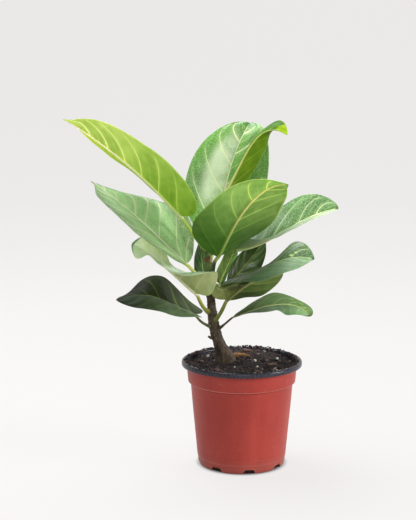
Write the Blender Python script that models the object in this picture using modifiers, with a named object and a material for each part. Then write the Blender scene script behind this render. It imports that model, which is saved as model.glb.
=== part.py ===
"""A young banyan fig in a nursery pot: pot, potting mix, stem, leaves and the loose bits on the mix.

Lengths in the tables are millimetres, angles are degrees. +Z is up, the pot stands on z = 0
round the origin, and the front of the plant faces -Y.
"""
import math
import random

import bmesh
import bpy
import numpy as np
from mathutils import Matrix, Vector
from mathutils.bvhtree import BVHTree

MM = 0.001
GAP = 0.4          # clearance left between touching pieces

# pot
RIM_R = 75.0       # outside of the rolled rim
POT_H = 132.0      # height of the rim
LEDGE_Z = 104.0    # where the wall steps out to the shoulder band
WALL = 1.2
NOTCHES = 8        # drain notches round the foot
NOTCH_W, NOTCH_TOP_W, NOTCH_H = 18.0, 10.0, 6.0
NOTCH_TURN = 9.0   # the first notch, measured from the front

# potting mix
SOIL_Z = 128.5     # general level of the mix
MOUND_H = 3.0      # how far it is heaped behind the stem
BACK_H = 3.5       # and how much higher it stands along the back of the pot

# stem: centre line (x, y, z) and radius, from the foot up
STEM = [
    (-21, 21, 98, 9), (-21, 21, 110, 10.5), (-20.4, 21, 120, 13.6), (-20.4, 20, 127, 13.6),
    (-21.6, 20, 132, 11.4),
    (-24, 20, 138, 9.3), (-27.4, 19, 147, 7.7), (-31.8, 19, 160, 7), (-35.6, 18, 178, 6.5),
    (-38, 18, 198, 5.6), (-39, 18, 220, 5.1), (-41, 17, 245, 4.7), (-43, 16, 266, 4.1),
    (-44, 16, 276, 3.4), (-45, 16, 288, 2.2), (-46, 16, 300, 0.9),
]

# Each leaf: the midrib as a cubic Bezier from blade base to tip, the petiole as another from the stem
# to the blade base, the way the upper side faces at base, middle and tip, the widest half width on
# each side, how far each half folds up from the midrib, how it curls on towards its margin, the
# roundness of base and tip, how far the side veins lean back at the base and forward at the tip,
# and, on the twisted leaves, shares of the half width from base to tip that swell or waist a half.
LEAVES = {
    "leaf_01": {
        "spine": [(-75, -1, 312), (-116, -20, 362), (-163, -29, 404), (-216, -38, 434)],
        "stalk": [(-43, 15, 268), (-54, 8, 276), (-68, 5, 300), (-75, -1, 312)],
        "face": [(0.65, 0.45, 0.61), (0.6, 0.52, 0.61), (0.57, 0.52, 0.64)],
        "half": (52, 52), "curl": (0, -6), "ends": (0.58, 1.07),
        "fold": [(14, 15, 29), (16, 18, 33)], "lean": (-0.47, 0.37, 0.43, 0.88),
        "swell": [(1, 1, 1, 1, 1, 1, 0.3), (1, 1, 1, 1, 1, 1, 0.3)],
    },
    "leaf_02": {
        "spine": [(-35, 60, 270), (-23, 90, 314), (-18, 81, 376), (12, 106, 420)],
        "stalk": [(-41, 17, 250), (-38, 38, 254), (-36, 53, 260), (-35, 60, 270)],
        "face": [(0.09, -0.98, 0.15), (-0.14, -0.93, 0.34), (-0.17, -0.61, 0.78)],
        "half": (52, 54), "curl": (-11, -16), "ends": (0.48, 0.52),
        "fold": [(16, 19, 14), (12, 18, 16)], "lean": (0, -0.03, -0.27, 0.32),
    },
    "leaf_03": {
        "spine": [(-33, 11, 324), (-4, 3, 349), (12, 11, 443), (54, -4, 411)],
        "stalk": [(-44, 16, 276), (-37, 13, 284), (-37, 12, 308), (-33, 11, 324)],
        "face": [(0.45, 0.9, 0), (0.58, 0.8, -0.18), (0.63, 0.52, 0.57)],
        "half": (20, 32), "curl": (21, 25), "ends": (0.76, 0.98),
        "fold": [(66, 47, 43), (61, 42, 79)], "lean": (0.09, -0.15, -0.21, 0.8),
    },
    "leaf_04": {
        "spine": [(-30, -24, 265), (-18, -45, 297), (12, -62, 364), (51.5, -82, 359)],
        "stalk": [(-38, 15, 227), (-36, -2, 237), (-37, -15, 250), (-33, -24, 263)],
        "face": [(-0.45, 0.66, 0.6), (-0.49, 0.63, 0.61), (-0.08, 0.55, 0.83)],
        "half": (55, 49), "curl": (-17, -17), "ends": (0.51, 0.98),
        "fold": [(20, 0, -7), (42, 21, -1)], "lean": (-0.07, 0.33, 0.05, 0.37),
    },
    "leaf_05": {
        "spine": [(-69, -8, 254), (-107, -9, 290), (-141, -7, 327), (-186, 3, 355)],
        "stalk": [(-43, 16, 219), (-54, 13, 233), (-61, 5, 245), (-68, -8, 253)],
        "face": [(0.22, -0.17, 0.96), (0.3, -0.23, 0.93), (0.24, -0.29, 0.93)],
        "half": (56, 66), "curl": (-9, -14), "ends": (0.53, 0.95),
        "fold": [(10, 12, 6), (10, 29, 0)], "lean": (0.17, 0.28, -0.26, -0.53),
        "swell": [(1, 1, 1, 1, 1, 1, 0.35), (1, 1, 1, 1, 1, 1, 0.35)],
    },
    "leaf_06": {
        "spine": [(-13, 28, 266), (37, 31, 267), (70, 22, 313), (120, 12, 320)],
        "stalk": [(-42, 16, 262), (-34, 24, 263), (-25, 28, 266), (-13, 28, 266)],
        "face": [(0, 0.11, 0.99), (-0.1, -0.28, 0.95), (0.1, -0.67, 0.74)],
        "half": (41, 32), "curl": (-13, -16), "ends": (0.68, 0.83),
        "fold": [(42, 29, 40), (48, 24, 38)], "lean": (-0.21, 0.27, -0.26, 0.33),
    },
    "leaf_07": {
        "spine": [(-56, -14, 218), (-82, -19, 243), (-104, -20, 264), (-135, -10, 280)],
        "stalk": [(-41, 16, 189), (-48, 2, 195), (-52, -9, 207), (-56, -14, 218)],
        "face": [(0.88, -0.38, 0.28), (0.89, -0.15, 0.44), (0.2, -0.1, 0.98), (0.14, -0.35, 0.92),
                 (0.2, -0.5, 0.85)],
        "half": (66, 24), "curl": (0, 0), "ends": (0.36, 0.36),
        "fold": [(52, 56, 12, 2, 5), (21, 24, 8, 10, 12)], "lean": (-0.28, -0.5, -0.72, -0.1),
        "swell": [(1, 0.98, 0.24, 0.04, 0.66), (1, 0.9, 0.62, 1, 1.7)],
    },
    "leaf_08": {
        "spine": [(-57, 4, 187), (-93, -9, 203), (-107, -36, 232), (-154, -32, 214)],
        "stalk": [(-39, 15, 171), (-46, 11, 173.5), (-53, 7, 179), (-57, 4, 187)],
        "face": [(-0.15, -0.25, 0.96), (-0.2, -0.32, 0.93), (-0.4, -0.24, 0.88)],
        "half": (43, 57), "curl": (-38, -7), "ends": (0.36, 0.81),
        "fold": [(22, 12, -15), (1, 22, -16)], "lean": (-0.06, 0.26, -0.74, 0.05),
    },
    "leaf_09": {
        "spine": [(-10, 7, 185), (18, -4, 202), (70, -20, 219), (83, -13, 189)],
        "stalk": [(-27, 15, 169), (-20, 12, 175), (-15, 9, 181), (-10, 7, 185)],
        "face": [(0.14, 0.01, 0.99), (0.22, 0.08, 0.97), (0.24, 0.52, 0.82)],
        "half": (27, 40), "curl": (-46, -17), "ends": (0.49, 0.61),
        "fold": [(1, 3, -45), (8, 29, -8)], "lean": (-0.21, -0.46, 0.7, -0.18),
    },
    "leaf_10": {
        "spine": [(-28, -8, 225), (7, -31, 235), (41, -50, 280), (86, -40, 265)],
        "stalk": [(-38, 15, 219), (-34, 8, 225.5), (-31, 0, 228), (-28, -8, 225)],
        "face": [(0.17, -0.16, 0.97), (0.11, -0.05, 0.99), (0.3, -0.75, 0.59)],
        "half": (40, 30), "curl": (-20, -30), "ends": (0.85, 0.99),
        "fold": [(22, 7, 16), (19, -14, 23)], "lean": (-0.67, 0.56, 0.36, 0.33),
    },
    "leaf_11": {
        "spine": [(-19, 0, 207), (-5, -6, 220), (16, -10, 236), (46, -12, 249)],
        "stalk": [(-35, 17, 177), (-27, 4, 186), (-23, -3, 199), (-19, 0, 207)],
        "face": [(-0.15, 0.88, 0.46), (0.15, 0.96, -0.23), (0.14, 0.98, -0.12)],
        "half": (30, 25), "curl": (0, 0), "ends": (0.37, 0.53),
        "fold": [(30, 51, 50), (12, 80, 80)], "lean": (0.13, 0.48, -0.82, 0.29),
    },
    "leaf_12": {
        "spine": [(-18, 38, 218), (-2, 52, 236), (18, 62, 253), (31, 70, 276)],
        "stalk": [(-38, 19, 204), (-33, 27, 208), (-26, 34, 212), (-18, 38, 218)],
        "face": [(0.5, -0.82, 0.3), (-0.16, -0.78, 0.6), (-0.5, -0.45, 0.74)],
        "half": (15, 27), "curl": (1, 4), "ends": (0.52, 0.82),
        "fold": [(32, 24, 10), (17, 20, 20)], "lean": (-0.03, 0.37, -0.36, 0.24),
    },
    "leaf_13": {
        "spine": [(-27, 21, 224), (-19, 20, 243), (-13, 19, 257), (-9, 19, 268)],
        "stalk": [(-37, 18, 209), (-33, 17, 213), (-30, 16, 218), (-27, 21, 224)],
        "face": [(-0.28, -0.81, 0.51), (-0.44, -0.63, 0.63), (0.06, -0.91, 0.42)],
        "half": (13, 12), "curl": (-15, -1), "ends": (0.52, 0.64),
        "fold": [(16, 12, 10), (32, 33, 32)], "lean": (-0.25, 0.35, -0.22, 0.4),
    },
    "leaf_14": {
        "spine": [(-46, 36, 215), (-48, 44, 235), (-51, 54, 254), (-52, 62, 278)],
        "stalk": [(-39, 20, 200), (-41, 27, 204), (-44, 33, 209), (-46, 36, 215)],
        "face": [(0.31, -0.86, 0.41), (0.33, -0.83, 0.45), (0.72, -0.63, 0.29)],
        "half": (21, 13), "curl": (5, 0), "ends": (0.49, 0.86),
        "fold": [(39, 37, 36), (30, 29, 19)], "lean": (-0.25, 0.26, -0.25, 0.35),
    },
}
PETIOLE_R = {"leaf_01": 2.2, "leaf_02": 2.4, "leaf_03": 1.8, "leaf_04": 2.6, "leaf_05": 2.4,
             "leaf_07": 2.3, "leaf_08": 1.8, "leaf_09": 1.5, "leaf_11": 2.4}
BLADE_T = 0.7      # thickness of a blade
MARGIN_T = 0.5     # thickness at its margin
RIB_H = 1.5        # how far the midrib stands out below

rng = random.Random(41)


# ---------------------------------------------------------------- helpers
def clear_scene():
    for obj in list(bpy.data.objects):
        bpy.data.objects.remove(obj, do_unlink=True)


def collection(name):
    made = bpy.data.collections.new(name)
    bpy.context.scene.collection.children.link(made)
    return made


def material(name, colour, roughness):
    made = bpy.data.materials.new(name)
    made.use_nodes = True
    shader = made.node_tree.nodes["Principled BSDF"]
    shader.inputs["Base Color"].default_value = (*colour, 1)
    shader.inputs["Roughness"].default_value = roughness
    return made


def mesh_object(name, points, faces, where, look=None, smooth=True):
    """An object from points in millimetres."""
    mesh = bpy.data.meshes.new(name)
    mesh.from_pydata([tuple(float(c) * MM for c in p) for p in points], [], faces)
    mesh.update()
    work = bmesh.new()
    work.from_mesh(mesh)
    bmesh.ops.recalc_face_normals(work, faces=work.faces)
    work.to_mesh(mesh)
    work.free()
    for face in mesh.polygons:
        face.use_smooth = smooth
    obj = bpy.data.objects.new(name, mesh)
    where.objects.link(obj)
    if look:
        mesh.materials.append(look)
    return obj


def boolean(obj, other, operation):
    modifier = obj.modifiers.new(operation.lower() + "_" + other.name, "BOOLEAN")
    modifier.object = other
    modifier.operation = operation
    modifier.solver = "EXACT"


def helper(obj):
    obj.hide_render = True
    obj.display_type = "WIRE"


def unit(a):
    return a / np.maximum(np.linalg.norm(a, axis=-1, keepdims=True), 1e-9)


def bezier(control, u):
    p = np.asarray(control, float)
    u = np.asarray(u, float)[..., None]
    w = 1 - u
    return w ** 3 * p[0] + 3 * w * w * u * p[1] + 3 * w * u * u * p[2] + u ** 3 * p[3]


def bezier_heading(control, u):
    p = np.asarray(control, float)
    u = np.asarray(u, float)[..., None]
    w = 1 - u
    return unit(w * w * (p[1] - p[0]) + 2 * w * u * (p[2] - p[1]) + u * u * (p[3] - p[2]))


def along(values, u):
    """Values given evenly from base to tip, eased from one to the next."""
    values = np.asarray(values, float)
    t = np.clip(u, 0, 1) * (len(values) - 1)
    i = np.minimum(t.astype(int), len(values) - 2)
    f = t - i
    f = f * f * (3 - 2 * f)
    if values.ndim > 1:
        f = f[..., None]
    return values[i] * (1 - f) + values[i + 1] * f


def loft(name, rings, where, look=None):
    """A closed skin through rings of equal length, with a fan at each end."""
    count, around = len(rings), len(rings[0])
    points = [p for ring in rings for p in ring]
    faces = []
    for i in range(count - 1):
        for j in range(around):
            a, b = i * around + j, i * around + (j + 1) % around
            faces.append((a, b, b + around, a + around))
    for start, ring in ((0, rings[0]), ((count - 1) * around, rings[-1])):
        points.append(np.mean(ring, axis=0))
        centre = len(points) - 1
        faces += [(start + j, start + (j + 1) % around, centre) for j in range(around)]
    return mesh_object(name, points, faces, where, look)


# ---------------------------------------------------------------- pot
def pot_profile():
    """(radius, height) pairs, up the outside, over the rolled rim and down the inside."""
    outside = [(0, 0), (44, 0), (51.2, 0), (52.8, 0.6), (53.7, 2.2), (54.5, 5.5), (56, 18), (60, 61),
               (63.9, LEDGE_Z), (64.5, 105.0), (66.2, 105.4), (66.9, 106.4), (68.6, 126.0), (68.8, 129.9)]
    rim = [(69.4, 130.7), (72.6, 130.7), (73.7, 129.6), (73.8, 126.6), (74.1, 126.2), (74.9, 126.4),
           (RIM_R, 127.4), (RIM_R, 130.0), (74.3, 131.4), (73.0, POT_H), (69.4, POT_H), (68.0, 131.5)]
    inside = [(67.6, 130.4), (67.4, 126.0), (65.8, 107.2), (65.2, 106.5), (63.5, 106.0), (62.8, 105.0),
              (58.8, 61), (54.8, 18), (53.3, 6.0), (52.5, 3.0), (51.0, 1.6), (44, WALL), (0, WALL)]
    return outside + rim + inside


def build_pot(parts, cutters, look):
    profile = pot_profile()
    mesh = bpy.data.meshes.new("pot")
    mesh.from_pydata([(r * MM, 0, z * MM) for r, z in profile],
                     [(i, i + 1) for i in range(len(profile) - 1)], [])
    pot = bpy.data.objects.new("pot", mesh)
    parts.objects.link(pot)
    mesh.materials.append(look)
    screw = pot.modifiers.new("turn", "SCREW")
    screw.axis = "Z"
    screw.steps = screw.render_steps = 64
    screw.use_merge_vertices = True
    screw.merge_threshold = 0.00005
    screw.use_normal_calculate = True
    points, faces = [], []
    for k in range(NOTCHES):
        turn = math.radians(-90 + NOTCH_TURN + k * 360 / NOTCHES)
        out = np.array([math.cos(turn), math.sin(turn), 0])
        side = np.array([-math.sin(turn), math.cos(turn), 0])
        first = len(points)
        for r in (46.5, 60.0):
            for half, z in ((-NOTCH_W / 2 - 1.2, -2), (NOTCH_W / 2 + 1.2, -2),
                            (NOTCH_TOP_W / 2, NOTCH_H), (-NOTCH_TOP_W / 2, NOTCH_H)):
                points.append(out * r + side * half + np.array([0, 0, z]))
        faces += [tuple(first + i for i in f) for f in
                  ((0, 3, 2, 1), (4, 5, 6, 7), (0, 1, 5, 4), (1, 2, 6, 5), (2, 3, 7, 6), (3, 0, 4, 7))]
    notch = mesh_object("drain_notches", points, faces, cutters, smooth=False)
    helper(notch)
    boolean(pot, notch, "DIFFERENCE")
    return pot


# ---------------------------------------------------------------- potting mix
SOIL_INSIDE = [(43, WALL), (49.8, 1.8), (51.8, 3.4), (53.1, 6.5), (54.8, 18), (58.8, 61), (62.7, 104.9),
               (63.3, 106.4), (65.0, 107.0), (65.7, 107.9)]
LUMPS = [(rng.uniform(-60, 60), rng.uniform(-60, 60), rng.uniform(0.5, 2.0), rng.uniform(5, 9))
         for _ in range(46)]


def eased(low, high, x):
    t = min(1.0, max(0.0, (x - low) / (high - low)))
    return t * t * (3 - 2 * t)


def soil_top(x, y):
    """Height of the mix: nearly level, heaped at the back and round the stem, with soft clods."""
    z = SOIL_Z + 0.012 * y
    z += BACK_H * eased(20, 55, y) * eased(-52, -22, x)
    z += MOUND_H * math.exp(-((x - 4) ** 2 + (y - 40) ** 2) / (2 * 26 ** 2))
    z += 1.6 * math.exp(-((x + 22) ** 2 + (y - 20) ** 2) / (2 * 17 ** 2))
    for lx, ly, h, r in LUMPS:
        z += h * math.exp(-((x - lx) ** 2 + (y - ly) ** 2) / (2 * r * r)) - 0.12 * h
    return z


def inner_wall_r(z):
    """Radius of the pot's inner wall at a height within the shoulder band."""
    return 65.8 + (z - 107.2) * 0.085


def build_soil(parts, look):
    around = 56
    rings = []
    turn = [2 * math.pi * j / around for j in range(around)]
    for r, z in SOIL_INSIDE:
        rings.append([((r - GAP) * math.cos(t), (r - GAP) * math.sin(t), z + GAP) for t in turn])
    edge = inner_wall_r(SOIL_Z) - GAP
    drop = [soil_top(edge * math.cos(t), edge * math.sin(t)) for t in turn]
    low = [min(z - 1.5, 126.5) for z in drop]
    wall = [inner_wall_r(z) - GAP for z in low]
    rings.append([(r * math.cos(t), r * math.sin(t), z) for r, t, z in zip(wall, turn, low)])
    for r in (64.8, 60, 55, 50, 45, 40, 35, 30, 25, 20, 15, 10, 5):
        flat = [(r * math.cos(t), r * math.sin(t)) for t in turn]
        rings.append([(x, y, soil_top(x, y)) for x, y in flat])
    points = [p for ring in rings for p in ring]
    faces = []
    for i in range(len(rings) - 1):
        for j in range(around):
            a, b = i * around + j, i * around + (j + 1) % around
            faces.append((a, b, b + around, a + around))
    points.append((0, 0, soil_top(0, 0)))
    last = (len(rings) - 1) * around
    faces += [(last + j, last + (j + 1) % around, len(points) - 1) for j in range(around)]
    points.append((0, 0, WALL + GAP))
    faces += [((j + 1) % around, j, len(points) - 1) for j in range(around)]
    return mesh_object("potting_mix", points, faces, parts, look)


# ---------------------------------------------------------------- stem
def stem_at(z):
    """Centre and radius of the stem at a height."""
    line = np.array(STEM, float)
    x, y, r = (np.interp(z, line[:, 2], line[:, k]) for k in (0, 1, 3))
    return np.array([x, y, z]), r


def grown_ends(rings, heads, extra):
    """The rings with the two end rings moved outwards by the same amount as the sides."""
    if extra:
        rings[0] = [p - heads[0] * extra for p in rings[0]]
        rings[-1] = [p + heads[-1] * extra for p in rings[-1]]
    return rings


def stem_rings(extra, around=16):
    line = np.array(STEM, float)
    heads = unit(np.gradient(line[:, :3], axis=0))
    rings = []
    for (x, y, z, r), head in zip(line, heads):
        east = unit(np.cross(np.array([0, 1.0, 0]), head))
        north = np.cross(head, east)
        flare = max(0.0, 1 - abs(z - 124) / 16)
        ring = []
        for j in range(around):
            t = 2 * math.pi * j / around
            swell = 1 + 0.13 * flare * math.cos(3 * t + 0.6) + 0.035 * math.sin(2 * t + z * 0.11)
            out = math.cos(t) * east + math.sin(t) * north
            ring.append(np.array([x, y, z]) + (r * swell + extra) * out)
        rings.append(ring)
    return grown_ends(rings, heads, extra)


ROOT = [(-24, 21, 129.0, 4.2), (-13, 21, 131.6, 3.4), (-3, 22, 132.8, 2.5), (4, 23, 132.4, 1.9),
        (11, 24, 130.6, 1.0)]
STUB = [(-31, 18, 154, 2.0), (-38, 15, 156, 1.7), (-41.5, 13, 158.5, 1.2)]


def tube_rings(line, extra, around=8):
    line = np.array(line, float)
    heads = unit(np.gradient(line[:, :3], axis=0))
    rings = []
    for (x, y, z, r), head in zip(line, heads):
        side = unit(np.cross(head, np.array([0, 0, 1.0])))
        over = np.cross(side, head)
        turn = [2 * math.pi * j / around for j in range(around)]
        rings.append([np.array([x, y, z]) + (r + extra) * (math.cos(t) * side + math.sin(t) * over)
                      for t in turn])
    return grown_ends(rings, heads, extra)


def build_stem(parts, cutters, look):
    stem = loft("stem", stem_rings(0), parts, look)
    for name, line in (("surface_root", ROOT), ("dead_stub", STUB)):
        grown = loft(name, tube_rings(line, 0), cutters)
        helper(grown)
        boolean(stem, grown, "UNION")
    socket = loft("stem_socket", stem_rings(GAP), cutters)
    trench = loft("root_trench", tube_rings(ROOT, GAP), cutters)
    helper(socket)
    helper(trench)
    return stem, socket, trench


# ---------------------------------------------------------------- leaves
def half_width(leaf, side, u):
    """Half width at u: u^a (1 - u)^b scaled to the widest half width, times its swell if it has one."""
    a, b = leaf["ends"]
    widest = a / (a + b)
    outline = u ** a * np.maximum(1 - u, 0) ** b / (widest ** a * (1 - widest) ** b)
    swell = along(leaf["swell"][side], u) if "swell" in leaf else 1
    return leaf["half"][side] * outline * swell


def blade_point_grid(leaf, u, v):
    """Points of a blade: a curved midrib, from which each half rises by its fold angle and bends on
    by its curl, with the side veins leaning back near the base and forward near the tip."""
    spine, heading = bezier(leaf["spine"], u), bezier_heading(leaf["spine"], u)
    face = along(leaf["face"], u)
    up = unit(face - (face * heading).sum(-1, keepdims=True) * heading)
    right = np.cross(heading, up)
    grid = np.zeros((len(u), len(v), 3))
    for side, pick in ((0, v < 0), (1, v >= 0)):
        across = np.abs(v[pick])[None, :]
        half = half_width(leaf, side, u)[:, None]
        fold = np.radians(along(leaf["fold"][side], u))[:, None]
        bend = leaf["curl"][side]
        curl = np.radians(along([0.3 * bend, bend, 0.6 * bend], u))[:, None]
        curl = np.where(np.abs(curl) < 1e-4, 1e-4, curl)
        out = half * (np.sin(fold + curl * across) - np.sin(fold)) / curl
        rise = half * (np.cos(fold) - np.cos(fold + curl * across)) / curl
        lean = leaf.get("lean", (-0.25, 0.35))
        lean = lean[2 * side:2 * side + 2] if len(lean) == 4 else lean
        lean = along(lean, u)[:, None] * half * across ** 1.6
        sign = -1 if side == 0 else 1
        grid[:, pick] = (spine[:, None] + sign * out[..., None] * right[:, None]
                         + rise[..., None] * up[:, None] + lean[..., None] * heading[:, None])
    return grid, up, right, heading


ACROSS = np.array([-1, -0.72, -0.42, -0.16, 0, 0.16, 0.42, 0.72, 1])
STATIONS = np.array([0.012, 0.04, 0.09, 0.16, 0.24, 0.33, 0.42, 0.52, 0.62, 0.72, 0.81, 0.88, 0.94,
                     0.975, 0.993])


def clear_of_stem(p):
    centre, r = stem_at(p[2])
    return np.linalg.norm(p[:2] - centre[:2]) > r * 1.05 + GAP + 0.15


def leaf_rings(name, leaf):
    fine_v = np.linspace(-1, 1, 41)
    fine, up, right, heading = blade_point_grid(leaf, STATIONS, fine_v)
    over, _, _, _ = blade_point_grid(leaf, np.clip(STATIONS + 0.004, 0, 1), fine_v)
    under, _, _, _ = blade_point_grid(leaf, np.clip(STATIONS - 0.004, 0, 1), fine_v)
    run = over - under
    cross = np.gradient(fine, axis=1)
    normal = unit(np.cross(cross, run))
    flip = np.sign((normal * up[:, None]).sum(-1, keepdims=True).mean(axis=1, keepdims=True))
    normal = normal * flip
    pick = [int(round((v + 1) * 20)) for v in ACROSS]
    points, normal = fine[:, pick], normal[:, pick]
    radius = PETIOLE_R.get(name, 2.0)
    thick = np.interp(np.abs(ACROSS), [0, 0.7, 1], [BLADE_T, BLADE_T, MARGIN_T]) / 2
    rings = []
    for i, u in enumerate(STATIONS):
        ends = min(1.0, 0.55 + 2.0 * (1 - u))
        top = points[i] + normal[i] * (thick * ends)[:, None]
        rib = np.where(np.abs(ACROSS) < 0.01, RIB_H * (1 - u) ** 0.8, 0)
        bottom = points[i] - normal[i] * (thick * ends + rib)[:, None]
        rings.append(np.concatenate([top, bottom[::-1]]))
    # petiole rings, round in section, from the stem to the blade base
    top_angle = ACROSS * math.radians(78)
    angle = np.concatenate([top_angle, math.pi - top_angle[::-1]])
    steps = np.linspace(0, 1, 8)[:-1]
    start_up, start_right = up[0], right[0]
    stalk = bezier(leaf["stalk"], np.append(steps, 0.985))
    stalk_heading = bezier_heading(leaf["stalk"], np.append(steps, 0.985))
    begin = 0
    for i, p in enumerate(stalk):
        centre, r = stem_at(p[2])
        if np.linalg.norm(p[:2] - centre[:2]) < r + 1.6:
            begin = i + 1
    begin = min(begin, len(stalk) - 2)
    stalk_rings = []
    for i in range(begin - 1, len(stalk)):
        i = max(i, 0)
        head = stalk_heading[i]
        u_dir = unit(start_up - (start_up @ head) * head)
        r_dir = np.cross(head, u_dir)
        swell = 1.25 - 0.3 * min(1, (i - begin + 1) / 3)
        r = radius * (swell if i < len(stalk) - 1 else 0.85)
        ring = stalk[i] + r * (np.sin(angle)[:, None] * r_dir + np.cos(angle)[:, None] * u_dir)
        stalk_rings.append(ring)
    # the first ring is drawn in along the petiole until it fits round the stem with a small gap
    head = stalk_heading[max(begin - 1, 0)]
    fitted = []
    for p in stalk_rings[0]:
        low, high = -14.0, 14.0
        for _ in range(40):
            mid = (low + high) / 2
            q = p + head * mid
            if clear_of_stem(q):
                high = mid
            else:
                low = mid
        fitted.append(p + head * high)
    stalk_rings[0] = np.array(fitted)
    keep = [stalk_rings[0]]
    for ring in stalk_rings[1:]:
        if ((ring - keep[0]) @ head).min() > 0.6 and all(clear_of_stem(p) for p in ring):
            keep.append(ring)
    return keep + rings


def build_leaf(name, leaf, parts, look):
    return loft(name, leaf_rings(name, leaf), parts, look)


# ---------------------------------------------------------------- loose bits
def lump(size, seed, rounds=1):
    """A small angular stone or chip: a box with its corners taken off and its faces pushed about."""
    own = random.Random(seed)
    work = bmesh.new()
    bmesh.ops.create_icosphere(work, subdivisions=1, radius=1.0)
    for vert in work.verts:
        grow = own.uniform(0.82, 1.12)
        vert.co = Vector([math.copysign(abs(c) ** 0.75, c) * s * grow / 2
                          for c, s in zip(vert.co, size)])
    points = [tuple(v.co) for v in work.verts]
    faces = [tuple(v.index for v in f.verts) for f in work.faces]
    work.free()
    return np.array(points), faces


def settle(points, tree, clear=0.3):
    """Lower or lift points so that the piece rests on the mix with a small gap."""
    lift = -1e9
    centre = points.mean(axis=0)
    samples = [p for p in points]
    for f in (0.3, 0.6, 0.85):
        samples += [centre + (p - centre) * f for p in points]
    for p in samples:
        hit = tree.ray_cast(Vector((p[0], p[1], 400)), Vector((0, 0, -1)))[0]
        if hit:
            low = min(q[2] for q in points if np.hypot(q[0] - p[0], q[1] - p[1]) < 3.0)
            lift = max(lift, hit.z + clear - max(low, p[2] if p[2] < centre[2] else low))
    return points + np.array([0, 0, lift])


BITS = [
    # name, kind, place x y, size, turn, tilt
    ("bark_chip_1", "bark", (-31, -24), (13, 5.5, 3.0), 60, 8),
    ("bark_chip_2", "bark", (20, -38), (11, 6.0, 3.0), -20, 6),
    ("bark_chip_3", "bark", (38, 2), (14, 5.0, 3.2), 35, 7),
    ("bark_chip_4", "bark", (-50, 14), (10, 5.0, 2.8), 100, 6),
    ("bark_chip_5", "bark", (-6, -50), (9, 5.0, 2.6), 150, 5),
    ("bark_chip_6", "bark", (10, 52), (13, 6.5, 3.4), 12, 10),
    ("perlite_1", "perlite", (-42, 33), (4.2, 3.6, 3.4), 15, 0),
    ("perlite_2", "perlite", (17, 8), (3.4, 3.0, 2.8), 70, 0),
    ("perlite_3", "perlite", (41, -34), (4.0, 3.4, 3.2), 40, 0),
    ("perlite_4", "perlite", (46, 28), (3.8, 3.0, 2.8), 120, 0),
]


def build_bits(parts, soil, looks):
    graph = bpy.context.evaluated_depsgraph_get()
    graph.update()
    ground = soil.evaluated_get(graph).to_mesh()
    tree = BVHTree.FromPolygons([v.co / MM for v in ground.vertices],
                                [tuple(p.vertices) for p in ground.polygons])
    for number, (name, kind, (x, y), size, turn, tilt) in enumerate(BITS):
        points, faces = lump(size, 100 + number)
        spin = Matrix.Rotation(math.radians(turn), 3, "Z") @ Matrix.Rotation(math.radians(tilt), 3, "Y")
        points = points @ np.array(spin).T + np.array([x, y, SOIL_Z + 8])
        points = settle(points, tree)
        mesh_object(name, points, faces, parts, looks[kind], smooth=False)


# ---------------------------------------------------------------- stipule scraps
SCRAPS = [
    # name, foot and top height, from and to which way round the stem (degrees), thickness, flare
    ("stipule_scrap", 253.5, 259.5, -150, -72, 0.9, 0.8),
    ("stipule_flake", 252.5, 261.5, -66, -38, 0.8, 1.2),
]


def build_scraps(parts, looks):
    """Dried scraps of a stipule that fell off, curved round the front of the stem."""
    across = 6
    for name, foot, top, start, stop, thick, flare in SCRAPS:
        points, faces = [], []
        for level in np.linspace(0, 1, 4):
            z = foot + (top - foot) * level
            centre, r = stem_at(z)
            spread = 1 - 0.35 * level ** 2
            for depth in (0, thick):
                for j in range(across):
                    turn = start + (stop - start) * (0.5 + (j / (across - 1) - 0.5) * spread)
                    out = r * 1.05 + GAP + flare * level ** 2 + depth * (1 - 0.4 * level)
                    turn = math.radians(turn)
                    points.append(centre + out * np.array([math.cos(turn), math.sin(turn), 0]))
        ring = [*range(across), *range(2 * across - 1, across - 1, -1)]
        for level in range(3):
            for a, b in zip(ring, ring[1:] + ring[:1]):
                low, high = level * 2 * across, (level + 1) * 2 * across
                faces.append((low + a, low + b, high + b, high + a))
        for base in (0, 3 * 2 * across):
            for j in range(across - 1):
                faces.append((base + j, base + j + 1, base + across + j + 1, base + across + j))
        mesh_object(name, points, faces, parts, looks[name])


def main():
    clear_scene()
    parts = collection("potted_ficus")
    cutters = collection("helpers")
    terracotta = material("pot_plastic", (0.36, 0.06, 0.045), 0.45)
    mix = material("potting_mix", (0.025, 0.018, 0.014), 0.95)
    bark = material("stem_bark", (0.07, 0.05, 0.035), 0.8)
    looks = {"bark": material("bark_chip", (0.16, 0.09, 0.06), 0.85),
             "perlite": material("perlite", (0.7, 0.69, 0.66), 0.8),
             "stipule_scrap": material("stipule_scrap", (0.15, 0.07, 0.045), 0.8),
             "stipule_flake": material("stipule_flake", (0.6, 0.5, 0.35), 0.7)}
    build_pot(parts, cutters, terracotta)
    soil = build_soil(parts, mix)
    stem, socket, trench = build_stem(parts, cutters, bark)
    boolean(soil, socket, "DIFFERENCE")
    boolean(soil, trench, "DIFFERENCE")
    for name, leaf in LEAVES.items():
        build_leaf(name, leaf, parts, material(name, (0.16, 0.3, 0.07), 0.4))
    build_scraps(parts, looks)
    build_bits(parts, soil, looks)


main()
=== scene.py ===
"""Finish of a young banyan fig in its nursery pot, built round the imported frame.

Tables are in millimetres and degrees, meshes in metres. +Z is up, the pot stands on z = 0 round the
origin, and the plant's front faces -Y. The tables of leaves, stem and pot are part.py's own.
"""
import math
import random

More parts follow.
